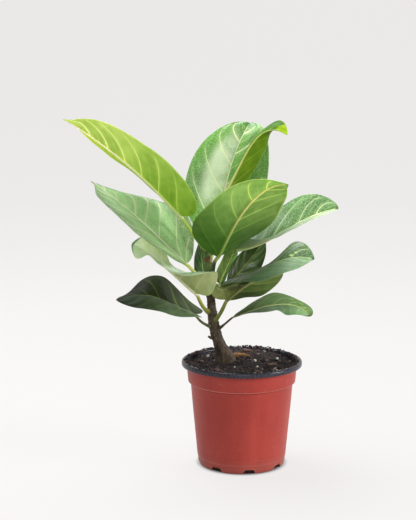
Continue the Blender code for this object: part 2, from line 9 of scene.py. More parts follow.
import bpy
import numpy as np
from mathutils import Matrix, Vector


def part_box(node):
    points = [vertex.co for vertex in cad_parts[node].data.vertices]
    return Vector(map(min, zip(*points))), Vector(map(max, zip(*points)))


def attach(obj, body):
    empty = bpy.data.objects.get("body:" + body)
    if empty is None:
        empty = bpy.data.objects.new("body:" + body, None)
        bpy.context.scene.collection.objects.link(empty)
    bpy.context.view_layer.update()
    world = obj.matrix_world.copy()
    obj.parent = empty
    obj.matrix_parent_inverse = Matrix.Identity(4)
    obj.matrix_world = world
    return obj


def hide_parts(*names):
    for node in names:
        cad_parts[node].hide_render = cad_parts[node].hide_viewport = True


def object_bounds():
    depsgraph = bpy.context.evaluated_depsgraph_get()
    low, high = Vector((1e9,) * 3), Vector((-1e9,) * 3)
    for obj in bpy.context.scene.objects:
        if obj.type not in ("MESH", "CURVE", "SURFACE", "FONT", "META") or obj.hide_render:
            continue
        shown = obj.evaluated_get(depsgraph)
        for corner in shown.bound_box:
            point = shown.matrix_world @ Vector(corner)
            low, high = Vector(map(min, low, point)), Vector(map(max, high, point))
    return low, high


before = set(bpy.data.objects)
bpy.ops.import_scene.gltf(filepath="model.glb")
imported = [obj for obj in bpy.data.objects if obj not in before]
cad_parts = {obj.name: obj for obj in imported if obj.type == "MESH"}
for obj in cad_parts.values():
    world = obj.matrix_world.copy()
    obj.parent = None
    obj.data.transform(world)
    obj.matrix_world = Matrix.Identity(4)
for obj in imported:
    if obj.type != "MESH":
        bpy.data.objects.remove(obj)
cad_low, cad_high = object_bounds()
MM = 0.001

GAP = 0.4          # clearance left between touching pieces

# pot
WALL = 1.2
NOTCHES = 8        # drain notches round the foot
NOTCH_W, NOTCH_TOP_W, NOTCH_H = 18.0, 10.0, 6.0
NOTCH_TURN = 9.0   # the first notch, measured from the front

# potting mix
SOIL_Z = 128.5     # general level of the mix
MOUND_H = 3.0      # how far it is heaped behind the stem
BACK_H = 3.5       # and how much higher it stands along the back of the pot

# stem: centre line (x, y, z) and radius, from the foot up
STEM = [
    (-21, 21, 98, 9), (-21, 21, 110, 10.5), (-20.4, 21, 120, 13.6), (-20.4, 20, 127, 13.6),
    (-21.6, 20, 132, 11.4),
    (-24, 20, 138, 9.3), (-27.4, 19, 147, 7.7), (-31.8, 19, 160, 7), (-35.6, 18, 178, 6.5),
    (-38, 18, 198, 5.6), (-39, 18, 220, 5.1), (-41, 17, 245, 4.7), (-43, 16, 266, 4.1),
    (-44, 16, 276, 3.4), (-45, 16, 288, 2.2), (-46, 16, 300, 0.9),
]

rng = random.Random(41)
SOIL_INSIDE = [(43, WALL), (49.8, 1.8), (51.8, 3.4), (53.1, 6.5), (54.8, 18), (58.8, 61), (62.7, 104.9),
               (63.3, 106.4), (65.0, 107.0), (65.7, 107.9)]
LUMPS = [(rng.uniform(-60, 60), rng.uniform(-60, 60), rng.uniform(0.5, 2.0), rng.uniform(5, 9))
         for _ in range(46)]

ROOT = [(-24, 21, 129.0, 4.2), (-13, 21, 131.6, 3.4), (-3, 22, 132.8, 2.5), (4, 23, 132.4, 1.9),
        (11, 24, 130.6, 1.0)]
STUB = [(-31, 18, 154, 2.0), (-38, 15, 156, 1.7), (-41.5, 13, 158.5, 1.2)]

SCRAPS = [
    # name, foot and top height, from and to which way round the stem (degrees), thickness, flare
    ("stipule_scrap", 253.5, 259.5, -150, -72, 0.9, 0.8),
    ("stipule_flake", 252.5, 261.5, -66, -38, 0.8, 1.2),
]

BITS = [
    # name, kind, place x y, size, turn, tilt
    ("bark_chip_1", "bark", (-31, -24), (13, 5.5, 3.0), 60, 8),
    ("bark_chip_2", "bark", (20, -38), (11, 6.0, 3.0), -20, 6),
    ("bark_chip_3", "bark", (38, 2), (14, 5.0, 3.2), 35, 7),
    ("bark_chip_4", "bark", (-50, 14), (10, 5.0, 2.8), 100, 6),
    ("bark_chip_5", "bark", (-6, -50), (9, 5.0, 2.6), 150, 5),
    ("bark_chip_6", "bark", (10, 52), (13, 6.5, 3.4), 12, 10),
    ("perlite_1", "perlite", (-42, 33), (4.2, 3.6, 3.4), 15, 0),
    ("perlite_2", "perlite", (17, 8), (3.4, 3.0, 2.8), 70, 0),
    ("perlite_3", "perlite", (41, -34), (4.0, 3.4, 3.2), 40, 0),
    ("perlite_4", "perlite", (46, 28), (3.8, 3.0, 2.8), 120, 0),
]

# Each leaf: the midrib as a cubic Bezier from blade base to tip, the petiole as another from the stem
# to the blade base, the way the upper side faces at base, middle and tip, the widest half width on
# each side, how far each half folds up from the midrib, how it curls on towards its margin, the
# roundness of base and tip, how far the side veins lean back at the base and forward at the tip,
# and, on the twisted leaves, shares of the half width from base to tip that swell or waist a half.
# Most of these numbers come from a least-squares fit made by another program.
LEAVES = {
    "leaf_01": {
        "spine": [(-75, -1, 312), (-116, -20, 362), (-163, -29, 404), (-216, -38, 434)],
        "stalk": [(-43, 15, 268), (-54, 8, 276), (-68, 5, 300), (-75, -1, 312)],
        "face": [(0.65, 0.45, 0.61), (0.6, 0.52, 0.61), (0.57, 0.52, 0.64)],
        "half": (52, 52), "curl": (0, -6), "ends": (0.58, 1.07),
        "fold": [(14, 15, 29), (16, 18, 33)], "lean": (-0.47, 0.37, 0.43, 0.88),
        "swell": [(1, 1, 1, 1, 1, 1, 0.3), (1, 1, 1, 1, 1, 1, 0.3)],
    },
    "leaf_02": {
        "spine": [(-35, 60, 270), (-23, 90, 314), (-18, 81, 376), (12, 106, 420)],
        "stalk": [(-41, 17, 250), (-38, 38, 254), (-36, 53, 260), (-35, 60, 270)],
        "face": [(0.09, -0.98, 0.15), (-0.14, -0.93, 0.34), (-0.17, -0.61, 0.78)],
        "half": (52, 54), "curl": (-11, -16), "ends": (0.48, 0.52),
        "fold": [(16, 19, 14), (12, 18, 16)], "lean": (0, -0.03, -0.27, 0.32),
    },
    "leaf_03": {
        "spine": [(-33, 11, 324), (-4, 3, 349), (12, 11, 443), (54, -4, 411)],
        "stalk": [(-44, 16, 276), (-37, 13, 284), (-37, 12, 308), (-33, 11, 324)],
        "face": [(0.45, 0.9, 0), (0.58, 0.8, -0.18), (0.63, 0.52, 0.57)],
        "half": (20, 32), "curl": (21, 25), "ends": (0.76, 0.98),
        "fold": [(66, 47, 43), (61, 42, 79)], "lean": (0.09, -0.15, -0.21, 0.8),
    },
    "leaf_04": {
        "spine": [(-30, -24, 265), (-18, -45, 297), (12, -62, 364), (51.5, -82, 359)],
        "stalk": [(-38, 15, 227), (-36, -2, 237), (-37, -15, 250), (-33, -24, 263)],
        "face": [(-0.45, 0.66, 0.6), (-0.49, 0.63, 0.61), (-0.08, 0.55, 0.83)],
        "half": (55, 49), "curl": (-17, -17), "ends": (0.51, 0.98),
        "fold": [(20, 0, -7), (42, 21, -1)], "lean": (-0.07, 0.33, 0.05, 0.37),
    },
    "leaf_05": {
        "spine": [(-69, -8, 254), (-107, -9, 290), (-141, -7, 327), (-186, 3, 355)],
        "stalk": [(-43, 16, 219), (-54, 13, 233), (-61, 5, 245), (-68, -8, 253)],
        "face": [(0.22, -0.17, 0.96), (0.3, -0.23, 0.93), (0.24, -0.29, 0.93)],
        "half": (56, 66), "curl": (-9, -14), "ends": (0.53, 0.95),
        "fold": [(10, 12, 6), (10, 29, 0)], "lean": (0.17, 0.28, -0.26, -0.53),
        "swell": [(1, 1, 1, 1, 1, 1, 0.35), (1, 1, 1, 1, 1, 1, 0.35)],
    },
    "leaf_06": {
        "spine": [(-13, 28, 266), (37, 31, 267), (70, 22, 313), (120, 12, 320)],
        "stalk": [(-42, 16, 262), (-34, 24, 263), (-25, 28, 266), (-13, 28, 266)],
        "face": [(0, 0.11, 0.99), (-0.1, -0.28, 0.95), (0.1, -0.67, 0.74)],
        "half": (41, 32), "curl": (-13, -16), "ends": (0.68, 0.83),
        "fold": [(42, 29, 40), (48, 24, 38)], "lean": (-0.21, 0.27, -0.26, 0.33),
    },
    "leaf_07": {
        "spine": [(-56, -14, 218), (-82, -19, 243), (-104, -20, 264), (-135, -10, 280)],
        "stalk": [(-41, 16, 189), (-48, 2, 195), (-52, -9, 207), (-56, -14, 218)],
        "face": [(0.88, -0.38, 0.28), (0.89, -0.15, 0.44), (0.2, -0.1, 0.98), (0.14, -0.35, 0.92),
                 (0.2, -0.5, 0.85)],
        "half": (66, 24), "curl": (0, 0), "ends": (0.36, 0.36),
        "fold": [(52, 56, 12, 2, 5), (21, 24, 8, 10, 12)], "lean": (-0.28, -0.5, -0.72, -0.1),
        "swell": [(1, 0.98, 0.24, 0.04, 0.66), (1, 0.9, 0.62, 1, 1.7)],
    },
    "leaf_08": {
        "spine": [(-57, 4, 187), (-93, -9, 203), (-107, -36, 232), (-154, -32, 214)],
        "stalk": [(-39, 15, 171), (-46, 11, 173.5), (-53, 7, 179), (-57, 4, 187)],
        "face": [(-0.15, -0.25, 0.96), (-0.2, -0.32, 0.93), (-0.4, -0.24, 0.88)],
        "half": (43, 57), "curl": (-38, -7), "ends": (0.36, 0.81),
        "fold": [(22, 12, -15), (1, 22, -16)], "lean": (-0.06, 0.26, -0.74, 0.05),
    },
    "leaf_09": {
        "spine": [(-10, 7, 185), (18, -4, 202), (70, -20, 219), (83, -13, 189)],
        "stalk": [(-27, 15, 169), (-20, 12, 175), (-15, 9, 181), (-10, 7, 185)],
        "face": [(0.14, 0.01, 0.99), (0.22, 0.08, 0.97), (0.24, 0.52, 0.82)],
        "half": (27, 40), "curl": (-46, -17), "ends": (0.49, 0.61),
        "fold": [(1, 3, -45), (8, 29, -8)], "lean": (-0.21, -0.46, 0.7, -0.18),
    },
    "leaf_10": {
        "spine": [(-28, -8, 225), (7, -31, 235), (41, -50, 280), (86, -40, 265)],
        "stalk": [(-38, 15, 219), (-34, 8, 225.5), (-31, 0, 228), (-28, -8, 225)],
        "face": [(0.17, -0.16, 0.97), (0.11, -0.05, 0.99), (0.3, -0.75, 0.59)],
        "half": (40, 30), "curl": (-20, -30), "ends": (0.85, 0.99),
        "fold": [(22, 7, 16), (19, -14, 23)], "lean": (-0.67, 0.56, 0.36, 0.33),
    },
    "leaf_11": {
        "spine": [(-19, 0, 207), (-5, -6, 220), (16, -10, 236), (46, -12, 249)],
        "stalk": [(-35, 17, 177), (-27, 4, 186), (-23, -3, 199), (-19, 0, 207)],
        "face": [(-0.15, 0.88, 0.46), (0.15, 0.96, -0.23), (0.14, 0.98, -0.12)],
        "half": (30, 25), "curl": (0, 0), "ends": (0.37, 0.53),
        "fold": [(30, 51, 50), (12, 80, 80)], "lean": (0.13, 0.48, -0.82, 0.29),
    },
    "leaf_12": {
        "spine": [(-18, 38, 218), (-2, 52, 236), (18, 62, 253), (31, 70, 276)],
        "stalk": [(-38, 19, 204), (-33, 27, 208), (-26, 34, 212), (-18, 38, 218)],
        "face": [(0.5, -0.82, 0.3), (-0.16, -0.78, 0.6), (-0.5, -0.45, 0.74)],
        "half": (15, 27), "curl": (1, 4), "ends": (0.52, 0.82),
        "fold": [(32, 24, 10), (17, 20, 20)], "lean": (-0.03, 0.37, -0.36, 0.24),
    },
    "leaf_13": {
        "spine": [(-27, 21, 224), (-19, 20, 243), (-13, 19, 257), (-9, 19, 268)],
        "stalk": [(-37, 18, 209), (-33, 17, 213), (-30, 16, 218), (-27, 21, 224)],
        "face": [(-0.28, -0.81, 0.51), (-0.44, -0.63, 0.63), (0.06, -0.91, 0.42)],
        "half": (13, 12), "curl": (-15, -1), "ends": (0.52, 0.64),
        "fold": [(16, 12, 10), (32, 33, 32)], "lean": (-0.25, 0.35, -0.22, 0.4),
    },
    "leaf_14": {
        "spine": [(-46, 36, 215), (-48, 44, 235), (-51, 54, 254), (-52, 62, 278)],
        "stalk": [(-39, 20, 200), (-41, 27, 204), (-44, 33, 209), (-46, 36, 215)],
        "face": [(0.31, -0.86, 0.41), (0.33, -0.83, 0.45), (0.72, -0.63, 0.29)],
        "half": (21, 13), "curl": (5, 0), "ends": (0.49, 0.86),
        "fold": [(39, 37, 36), (30, 29, 19)], "lean": (-0.25, 0.26, -0.25, 0.35),
    },
}
PETIOLE_R = {"leaf_01": 2.2, "leaf_02": 2.4, "leaf_03": 1.8, "leaf_04": 2.6, "leaf_05": 2.4,
             "leaf_07": 2.3, "leaf_08": 1.7, "leaf_09": 1.3, "leaf_11": 2.4}
BLADE_T = 0.5       # thickness of a blade
MARGIN_T = 0.3      # thickness at its margin
PILLOW = 0.55       # how far a blade bulges between its side veins
VEIN_H = 0.32       # how far side veins stand out below

# How each leaf looks. Colours as 8-bit display values: the upper side and the underside each as
# (general, deeper patches), the side veins and the midrib seen from above and from below, the
# petiole and the tip. fade tints the whole blade from base to tip, halves the two halves and edge
# the part towards the margin (1 leaves a colour alone); these tints are partly the leaf's own tone
# and partly painted light and shade. Then the width of a side vein and of the midrib in
# millimetres, how pale the margin is, how much of the fine network shows, roughness above and
# below, the share of light that passes through, the strength of the gloss and, for some, how far
# along the tip colour starts and how much painted sheen, a pale painted highlight, lies beside the
# midrib.
# Most colours and tints come from a least-squares fit made by another program, and some were
# then set one by one.
LOOK_UNLESS_GIVEN = dict(shine=0.3, tip_start=0.955, bloom=0.0, margin=0.08, edge=(1, 1, 1),
                         fade=((1, 1, 1), (1, 1, 1)), halves=((1, 1, 1), (1, 1, 1)))
LOOKS = {
    "leaf_01": dict(upper=((178, 208, 92), (150, 186, 70)), under=((189, 207, 121), (164, 188, 88)),
        vein=(214, 232, 140), vein_below=(242, 238, 219), rib=(222, 238, 150), rib_below=(242, 238, 190),
        stalk=(184, 206, 84), tip=(140, 166, 104), fade=((0.81, 0.88, 0.69), (1.23, 1.13, 1.44)),
        halves=((0.99, 0.95, 1.47), (0.97, 0.91, 0.77)), width=1.5, rib_width=1.3, margin=0.5,
        network=0.06, gloss=(0.42, 0.5), glow=0.78, tip_start=0.975),
    "leaf_02": dict(upper=((82, 146, 50), (56, 112, 30)), under=((120, 150, 84), (100, 132, 66)),
        vein=(240, 250, 195), vein_below=(190, 205, 140), rib=(240, 244, 205), rib_below=(200, 205, 130),
        stalk=(150, 165, 90), tip=(96, 150, 76), halves=((1.02, 1.18, 0.76), (1.6, 1.45, 1.75)),
        width=1.9, rib_width=2.3, network=0.4, gloss=(0.27, 0.55), glow=0.25, shine=0.45, bloom=0.8),
    "leaf_03": dict(upper=((150, 180, 50), (130, 164, 40)), under=((108, 154, 13), (73, 122, 7)),
        vein=(170, 190, 90), vein_below=(159, 179, 59), rib=(200, 215, 110), rib_below=(182, 185, 91),
        stalk=(140, 160, 70), tip=(172, 204, 40), fade=((1.26, 1.15, 2.2), (0.75, 0.87, 0.3)),
        halves=((1.39, 1.09, 2), (0.61, 0.92, 0.35)), width=1.1, rib_width=1, margin=0.5, network=0.12,
        gloss=(0.4, 0.4), glow=0.4, shine=0.2, tip_start=0.86),
    "leaf_04": dict(upper=((90, 140, 70), (70, 120, 50)), under=((138, 173, 93), (104, 147, 59)),
        vein=(190, 210, 140), vein_below=(176, 200, 118), rib=(220, 220, 150), rib_below=(176, 186, 104),
        stalk=(48, 66, 30), tip=(140, 176, 96), fade=((0.43, 0.6, 0.3), (2.16, 1.74, 2.2)),
        halves=((0.91, 0.91, 0.87), (1.1, 1.09, 1.15)), width=1.2, rib_width=1.2, margin=0.5, network=0.1,
        gloss=(0.4, 0.45), glow=0.5, shine=0.2),
    "leaf_05": dict(upper=((184, 232, 168), (130, 186, 120)), under=((120, 150, 84), (100, 132, 66)),
        vein=(235, 240, 205), vein_below=(190, 205, 140), rib=(250, 250, 232), rib_below=(206, 214, 130),
        stalk=(218, 222, 132), tip=(96, 118, 60), fade=((0.91, 0.93, 0.8), (1.09, 1.07, 1.2)),
        halves=((1, 0.97, 1.05), (1, 1.03, 0.95)), edge=(0.34, 0.4, 0.34), width=1.9, rib_width=2.8,
        network=0.6, gloss=(0.42, 0.55), glow=0.25, shine=0.15, tip_start=0.95),
    "leaf_06": dict(upper=((113, 149, 97), (81, 119, 69)), under=((185, 220, 169), (150, 189, 130)),
        vein=(190, 215, 160), vein_below=(228, 234, 186), rib=(225, 235, 180), rib_below=(237, 234, 186),
        stalk=(120, 140, 70), tip=(120, 150, 84), fade=((0.37, 0.48, 0.3), (2.04, 1.75, 2.2)),
        halves=((0.47, 0.73, 0.44), (1.25, 1.02, 1.48)), width=1.4, rib_width=2, network=0.5,
        gloss=(0.34, 0.55), glow=0.25),
    # leaf_07's near-white colours are painted light: they stand in for light the lamps hardly bring to this
    # leaf.
    "leaf_07": dict(upper=((249, 249, 249), (223, 249, 218)), under=((238, 227, 196), (203, 199, 158)),
        vein=(249, 249, 249), vein_below=(244, 234, 188), rib=(249, 249, 249), rib_below=(248, 237, 210),
        stalk=(156, 160, 66), tip=(124, 170, 104), fade=((0.81, 0.91, 0.79), (1.16, 1.2, 1.21)),
        halves=((0.89, 0.95, 0.82), (1.12, 1.17, 1.19)), width=1.3, rib_width=1.6, network=0.22,
        gloss=(0.38, 0.55), glow=0.35, shine=0.2),
    "leaf_08": dict(upper=((46, 64, 33), (28, 42, 12)), under=((96, 112, 66), (80, 96, 50)),
        vein=(81, 97, 41), vein_below=(150, 160, 100), rib=(103, 117, 46), rib_below=(150, 150, 90),
        stalk=(82, 88, 44), tip=(66, 62, 44), fade=((2.2, 2.2, 2.2), (0.31, 0.35, 0.3)),
        halves=((2.2, 1.8, 3.38), (0.32, 0.31, 0.21)), width=1.1, rib_width=1.3, network=0.16,
        gloss=(0.5, 0.6), glow=0.05, shine=0.08),
    "leaf_09": dict(upper=((92, 124, 72), (66, 98, 46)), under=((135, 172, 117), (111, 146, 91)),
        vein=(150, 172, 100), vein_below=(180, 206, 141), rib=(140, 162, 90), rib_below=(180, 195, 129),
        stalk=(66, 58, 40), tip=(120, 140, 100), fade=((0.48, 0.49, 0.47), (1.82, 1.78, 1.87)),
        halves=((1.2, 1.13, 1.4), (0.83, 0.88, 0.71)), width=1, rib_width=1.3, network=0.26,
        gloss=(0.36, 0.6), glow=0.2),
    "leaf_10": dict(upper=((77, 113, 78), (50, 84, 51)), under=((104, 128, 68), (84, 110, 48)),
        vein=(150, 176, 122), vein_below=(160, 180, 110), rib=(154, 180, 110), rib_below=(165, 170, 100),
        stalk=(110, 130, 60), tip=(70, 96, 56), fade=((0.34, 0.39, 0.28), (2.18, 1.94, 2.2)),
        halves=((0.37, 0.54, 0.39), (2, 1.64, 2)), width=1.1, rib_width=1.4, network=0.45,
        gloss=(0.32, 0.55), glow=0.2, shine=0.5),
    "leaf_11": dict(upper=((86, 120, 60), (66, 100, 40)), under=((157, 171, 109), (125, 143, 74)),
        vein=(150, 170, 100), vein_below=(150, 158, 84), rib=(170, 180, 100), rib_below=(150, 150, 84),
        stalk=(112, 122, 48), tip=(90, 110, 60), fade=((0.51, 0.54, 0.45), (1.74, 1.62, 1.95)),
        halves=((0.42, 0.56, 0.38), (2, 1.7, 2)), width=1.2, rib_width=1.3, network=0.14,
        gloss=(0.42, 0.5), glow=0.25, shine=0.2),
    "leaf_12": dict(upper=((49, 72, 27), (34, 55, 15)), under=((100, 120, 70), (80, 100, 50)),
        vein=(97, 113, 53), vein_below=(150, 160, 100), rib=(123, 131, 57), rib_below=(150, 150, 90),
        stalk=(90, 100, 50), tip=(80, 100, 60), fade=((0.75, 0.75, 0.7), (1.3, 1.3, 1.35)),
        halves=((1.05, 1, 1.15), (0.9, 0.98, 0.8)), width=1.1, rib_width=1.3, network=0.2,
        gloss=(0.36, 0.6), glow=0.12, shine=0.25),
    "leaf_13": dict(upper=((103, 145, 73), (76, 118, 50)), under=((100, 124, 66), (80, 104, 46)),
        vein=(157, 178, 97), vein_below=(150, 165, 100), rib=(208, 218, 115), rib_below=(150, 155, 90),
        stalk=(140, 148, 66), tip=(90, 120, 60), fade=((1.07, 1.07, 1.16), (0.93, 0.94, 0.86)),
        halves=((1.69, 1.22, 1.43), (0.56, 0.82, 0.7)), width=1.1, rib_width=1.9, network=0.15,
        gloss=(0.42, 0.6), glow=0.2),
    "leaf_14": dict(upper=((84, 119, 66), (59, 89, 41)), under=((100, 120, 70), (80, 100, 50)),
        vein=(129, 161, 102), vein_below=(150, 160, 100), rib=(161, 189, 124), rib_below=(150, 150, 90),
        stalk=(90, 100, 50), tip=(80, 100, 60), fade=((1.26, 1.26, 1.4), (0.79, 0.79, 0.72)),
        halves=((0.63, 0.63, 0.63), (1.59, 1.59, 1.59)), width=1, rib_width=1.1, network=0.18,
        gloss=(0.4, 0.6), glow=0.12),
}
# Side veins of the two halves, each as (where it leaves the midrib, how far forward it sweeps by the
# margin), as shares of the blade's length.
SIDE_VEINS = {
    "leaf_01": (((0.0, 0.4), (0.21, 0.29), (0.36, 0.31), (0.50, 0.3), (0.64, 0.24), (0.78, 0.18)),
                ((0.0, 0.3), (0.16, 0.34), (0.3, 0.32), (0.45, 0.3), (0.6, 0.27), (0.74, 0.22))),
    "leaf_02": (((0.03, 0.56), (0.41, 0.37), (0.64, 0.28), (0.83, 0.16)),
                ((0.0, 0.4), (0.24, 0.38), (0.48, 0.36), (0.73, 0.24), (0.9, 0.12))),
    "leaf_03": (((0.0, 0.3), (0.2, 0.3), (0.4, 0.28), (0.6, 0.25), (0.78, 0.16)),
                ((0.0, 0.3), (0.24, 0.3), (0.44, 0.28), (0.64, 0.25), (0.8, 0.16))),
    "leaf_04": (((0.0, 0.28), (0.24, 0.3), (0.38, 0.34), (0.58, 0.3), (0.76, 0.2)),
                ((0.0, 0.33), (0.23, 0.25), (0.41, 0.23), (0.61, 0.12), (0.78, 0.1))),
    "leaf_05": (((0.01, 0.3), (0.27, 0.24), (0.49, 0.3), (0.66, 0.26), (0.8, 0.16)),
                ((-0.08, 0.32), (0.0, 0.58), (0.29, 0.42), (0.45, 0.32), (0.55, 0.36), (0.74, 0.3),
                 (0.86, 0.12))),
    "leaf_06": (((0.0, 0.4), (0.24, 0.36), (0.38, 0.38), (0.64, 0.24), (0.8, 0.18)),
                ((0.0, 0.3), (0.2, 0.34), (0.4, 0.3), (0.6, 0.26), (0.78, 0.18))),
    "leaf_07": (((0.0, 0.36), (0.26, 0.3), (0.46, 0.28), (0.66, 0.24), (0.82, 0.14)),
                ((0.0, 0.3), (0.2, 0.3), (0.38, 0.28), (0.56, 0.26), (0.74, 0.2))),
    "leaf_08": (((0.0, 0.3), (0.18, 0.3), (0.36, 0.3), (0.54, 0.26), (0.72, 0.2)),
                ((0.0, 0.3), (0.2, 0.24), (0.5, 0.2), (0.66, 0.2), (0.8, 0.14))),
    "leaf_11": (((0.0, 0.5), (0.3, 0.36), (0.54, 0.3), (0.76, 0.2)),
                ((0.02, 0.32), (0.26, 0.3), (0.5, 0.28), (0.74, 0.2))),
    "other": (((0.0, 0.36), (0.22, 0.32), (0.42, 0.3), (0.6, 0.26), (0.78, 0.16)),
              ((0.0, 0.36), (0.26, 0.32), (0.46, 0.3), (0.64, 0.26), (0.8, 0.16))),
}

# Pale yellow flecks: (u, v, radius) along and across the blade.
FLECKS = {
    "leaf_09": [(0.67, 0.57, 0.03), (0.72, 0.3, 0.03), (0.74, 0.8, 0.024), (0.79, 0.43, 0.03),
                (0.85, 0.2, 0.028), (0.9, 0.12, 0.02)],
    "leaf_10": [(0.78, -0.15, 0.018), (0.82, -0.3, 0.013)],
}
LARGE = ("leaf_01", "leaf_02", "leaf_04", "leaf_05", "leaf_06", "leaf_07", "leaf_08")


# ---------------------------------------------------------------- arithmetic
def unit(a):
    """Vectors divided by their length."""
    return a / np.maximum(np.linalg.norm(a, axis=-1, keepdims=True), 1e-12)


def smooth(low, high, x):
    """0 below low, 1 above high, eased between."""
    t = np.clip((np.asarray(x, float) - low) / (high - low), 0, 1)
    return t * t * (3 - 2 * t)


def bezier(control, u):
    """Points of the cubic Bezier curve over four control points."""
    p = np.asarray(control, float)
    u = np.asarray(u, float)[..., None]
    w = 1 - u
    return w ** 3 * p[0] + 3 * w * w * u * p[1] + 3 * w * u * u * p[2] + u ** 3 * p[3]


def bezier_heading(control, u):
    """Unit vectors along the same curve, from its derivative."""
    p = np.asarray(control, float)
    u = np.asarray(u, float)[..., None]
    w = 1 - u
    return unit(w * w * (p[1] - p[0]) + 2 * w * u * (p[2] - p[1]) + u * u * (p[3] - p[2]))


def along(values, u):
    """Values given evenly from base to tip, eased from one to the next."""
    values = np.asarray(values, float)
    t = np.clip(u, 0, 1) * (len(values) - 1)
    i = np.minimum(t.astype(int), len(values) - 2)
    f = t - i
    f = f * f * (3 - 2 * f)
    if values.ndim > 1:
        f = f[..., None]
    return values[i] * (1 - f) + values[i + 1] * f


def corner_value(x, y, z, seed):
    """A fixed random number from -1 to 1 for each whole-number corner of a lattice."""
    mask = 0xFFFFFFFF
    h = (x * 73856093 ^ y * 19349663 ^ z * 83492791 ^ seed * 40503) & mask
    h = ((h ^ (h >> 13)) * 1274126177) & mask
    h = ((h ^ (h >> 16)) * 2246822519) & mask
    return ((h ^ (h >> 15)) & 0xFFFFFF) / 0x7FFFFF - 1


def cloud(points, size, seed, octaves=1):
    """Soft noise: random corner values of a cubic lattice of that size, eased between the eight
    corners round each point, and repeated at half the size and half the strength."""
    total, strength = 0, 1
    for octave in range(octaves):
        p = np.asarray(points, float) / size * 2 ** octave + 1000
        cell = np.floor(p).astype(np.int64)
        f = p - cell
        f = f * f * (3 - 2 * f)
        value = 0
        for corner in range(8):
            d = np.array([corner & 1, corner >> 1 & 1, corner >> 2])
            weight = np.prod(np.where(d, f, 1 - f), axis=-1)
            at = cell + d
            value = value + weight * corner_value(at[..., 0], at[..., 1], at[..., 2], seed + octave)
        total = total + value * strength
        strength *= 0.5
    return total


def curve_through(points, count):
    """Catmull-Rom curve: each stretch is a cubic whose slopes follow the neighbouring points."""
    p = np.asarray(points, float)
    p = np.concatenate([2 * p[:1] - p[1:2], p, 2 * p[-1:] - p[-2:-1]])
    t = np.linspace(0, len(p) - 3 - 1e-9, count)
    i = t.astype(int)
    f = (t - i)[:, None]
    a, b, c, d = p[i], p[i + 1], p[i + 2], p[i + 3]
    return 0.5 * (2 * b + (c - a) * f + (2 * a - 5 * b + 4 * c - d) * f ** 2
                  + (3 * b - a - 3 * c + d) * f ** 3)


# ---------------------------------------------------------------- meshes
def rings_to_quads(count, around):
    """Quads between neighbouring rings of points, each ring closed on itself."""
    i, j = np.meshgrid(np.arange(count - 1), np.arange(around), indexing="ij")
    a, b = i * around + j, i * around + (j + 1) % around
    return np.stack([a, b, b + around, a + around], axis=-1).reshape(-1, 4)


def folded_rings_to_quads(count, around):
    """Quads between rings that are each folded flat, with the first and the last ring closed by
    quads that join its points across the fold."""
    j = np.arange(around // 2 - 1)
    cap = np.stack([j, j + 1, around - 2 - j, around - 1 - j], axis=1)
    return np.concatenate([rings_to_quads(count, around), cap, (count - 1) * around + cap[:, ::-1]])


def pole_fans(count, around):
    """Triangles from the first ring to the pole before it and from the last ring to the pole after
    it. The two poles are the points that follow the rings."""
    j = np.arange(around)
    after = (j + 1) % around
    pole = np.full(around, count * around)
    last = (count - 1) * around
    return np.concatenate([np.stack([after, j, pole], axis=1),
                           np.stack([last + j, last + after, pole + 1], axis=1)])


def turned_outwards(points, quads, tris):
    """The faces with their order reversed if the closed skin they make is inside out."""
    t = np.concatenate([quads[:, [0, 1, 2]], quads[:, [0, 2, 3]], tris])
    a, b, c = points[t[:, 0]], points[t[:, 1]], points[t[:, 2]]
    if np.einsum("ij,ij->", a, np.cross(b, c)) < 0:
        return quads[:, ::-1], tris[:, ::-1]
    return quads, tris


def piece(name, points, quads, tris=None, finish=None, values=None, uv=None, soft_shading=True):
    """A mesh object from millimetre points, with float values and a UV map given per point."""
    tris = np.zeros((0, 3), int) if tris is None else np.asarray(tris, int)
    quads = np.asarray(quads, int).reshape(-1, 4)
    quads, tris = turned_outwards(points, quads, tris)
    mesh = bpy.data.meshes.new(name)
    mesh.vertices.add(len(points))
    mesh.vertices.foreach_set("co", (np.asarray(points, np.float32) * MM).ravel())
    corners = np.concatenate([quads.ravel(), tris.ravel()]).astype(np.int32)
    starts = np.concatenate([np.arange(len(quads)) * 4, len(quads) * 4 + np.arange(len(tris)) * 3])
    mesh.loops.add(len(corners))
    mesh.loops.foreach_set("vertex_index", corners)
    mesh.polygons.add(len(starts))
    mesh.polygons.foreach_set("loop_start", starts.astype(np.int32))
    mesh.polygons.foreach_set("use_smooth", np.full(len(starts), soft_shading))
    mesh.update(calc_edges=True)
    for label, value in (values or {}).items():
        attribute = mesh.attributes.new(label, "FLOAT", "POINT")
        attribute.data.foreach_set("value", np.asarray(value, np.float32).ravel())
    if uv is not None:
        layer = mesh.uv_layers.new(name="surface")
        layer.uv.foreach_set("vector", np.asarray(uv, np.float32)[corners].ravel())
    mesh.validate()
    obj = bpy.data.objects.new(name, mesh)
    bpy.context.scene.collection.objects.link(obj)
    if finish:
        mesh.materials.append(finish)
    return obj


def corner_value_layer(obj, label, for_left, for_right, quad_is_right):
    """A float given per face corner, so that it may jump between a blade's two halves."""
    mesh = obj.data
    index = np.empty(len(mesh.loops), np.int32)
    mesh.loops.foreach_get("vertex_index", index)
    right = np.repeat(quad_is_right, 4)
    attribute = mesh.attributes.new(label, "FLOAT", "CORNER")
    attribute.data.foreach_set("value", np.where(right, for_right[index], for_left[index]).astype(np.float32))


def ring_frames(line, side_hint):
    """Heading, side and over directions along a line, with no twist beyond the hint's."""
    heads = unit(np.gradient(line, axis=0))
    side = unit(np.cross(heads, side_hint))
    return heads, side, np.cross(side, heads)


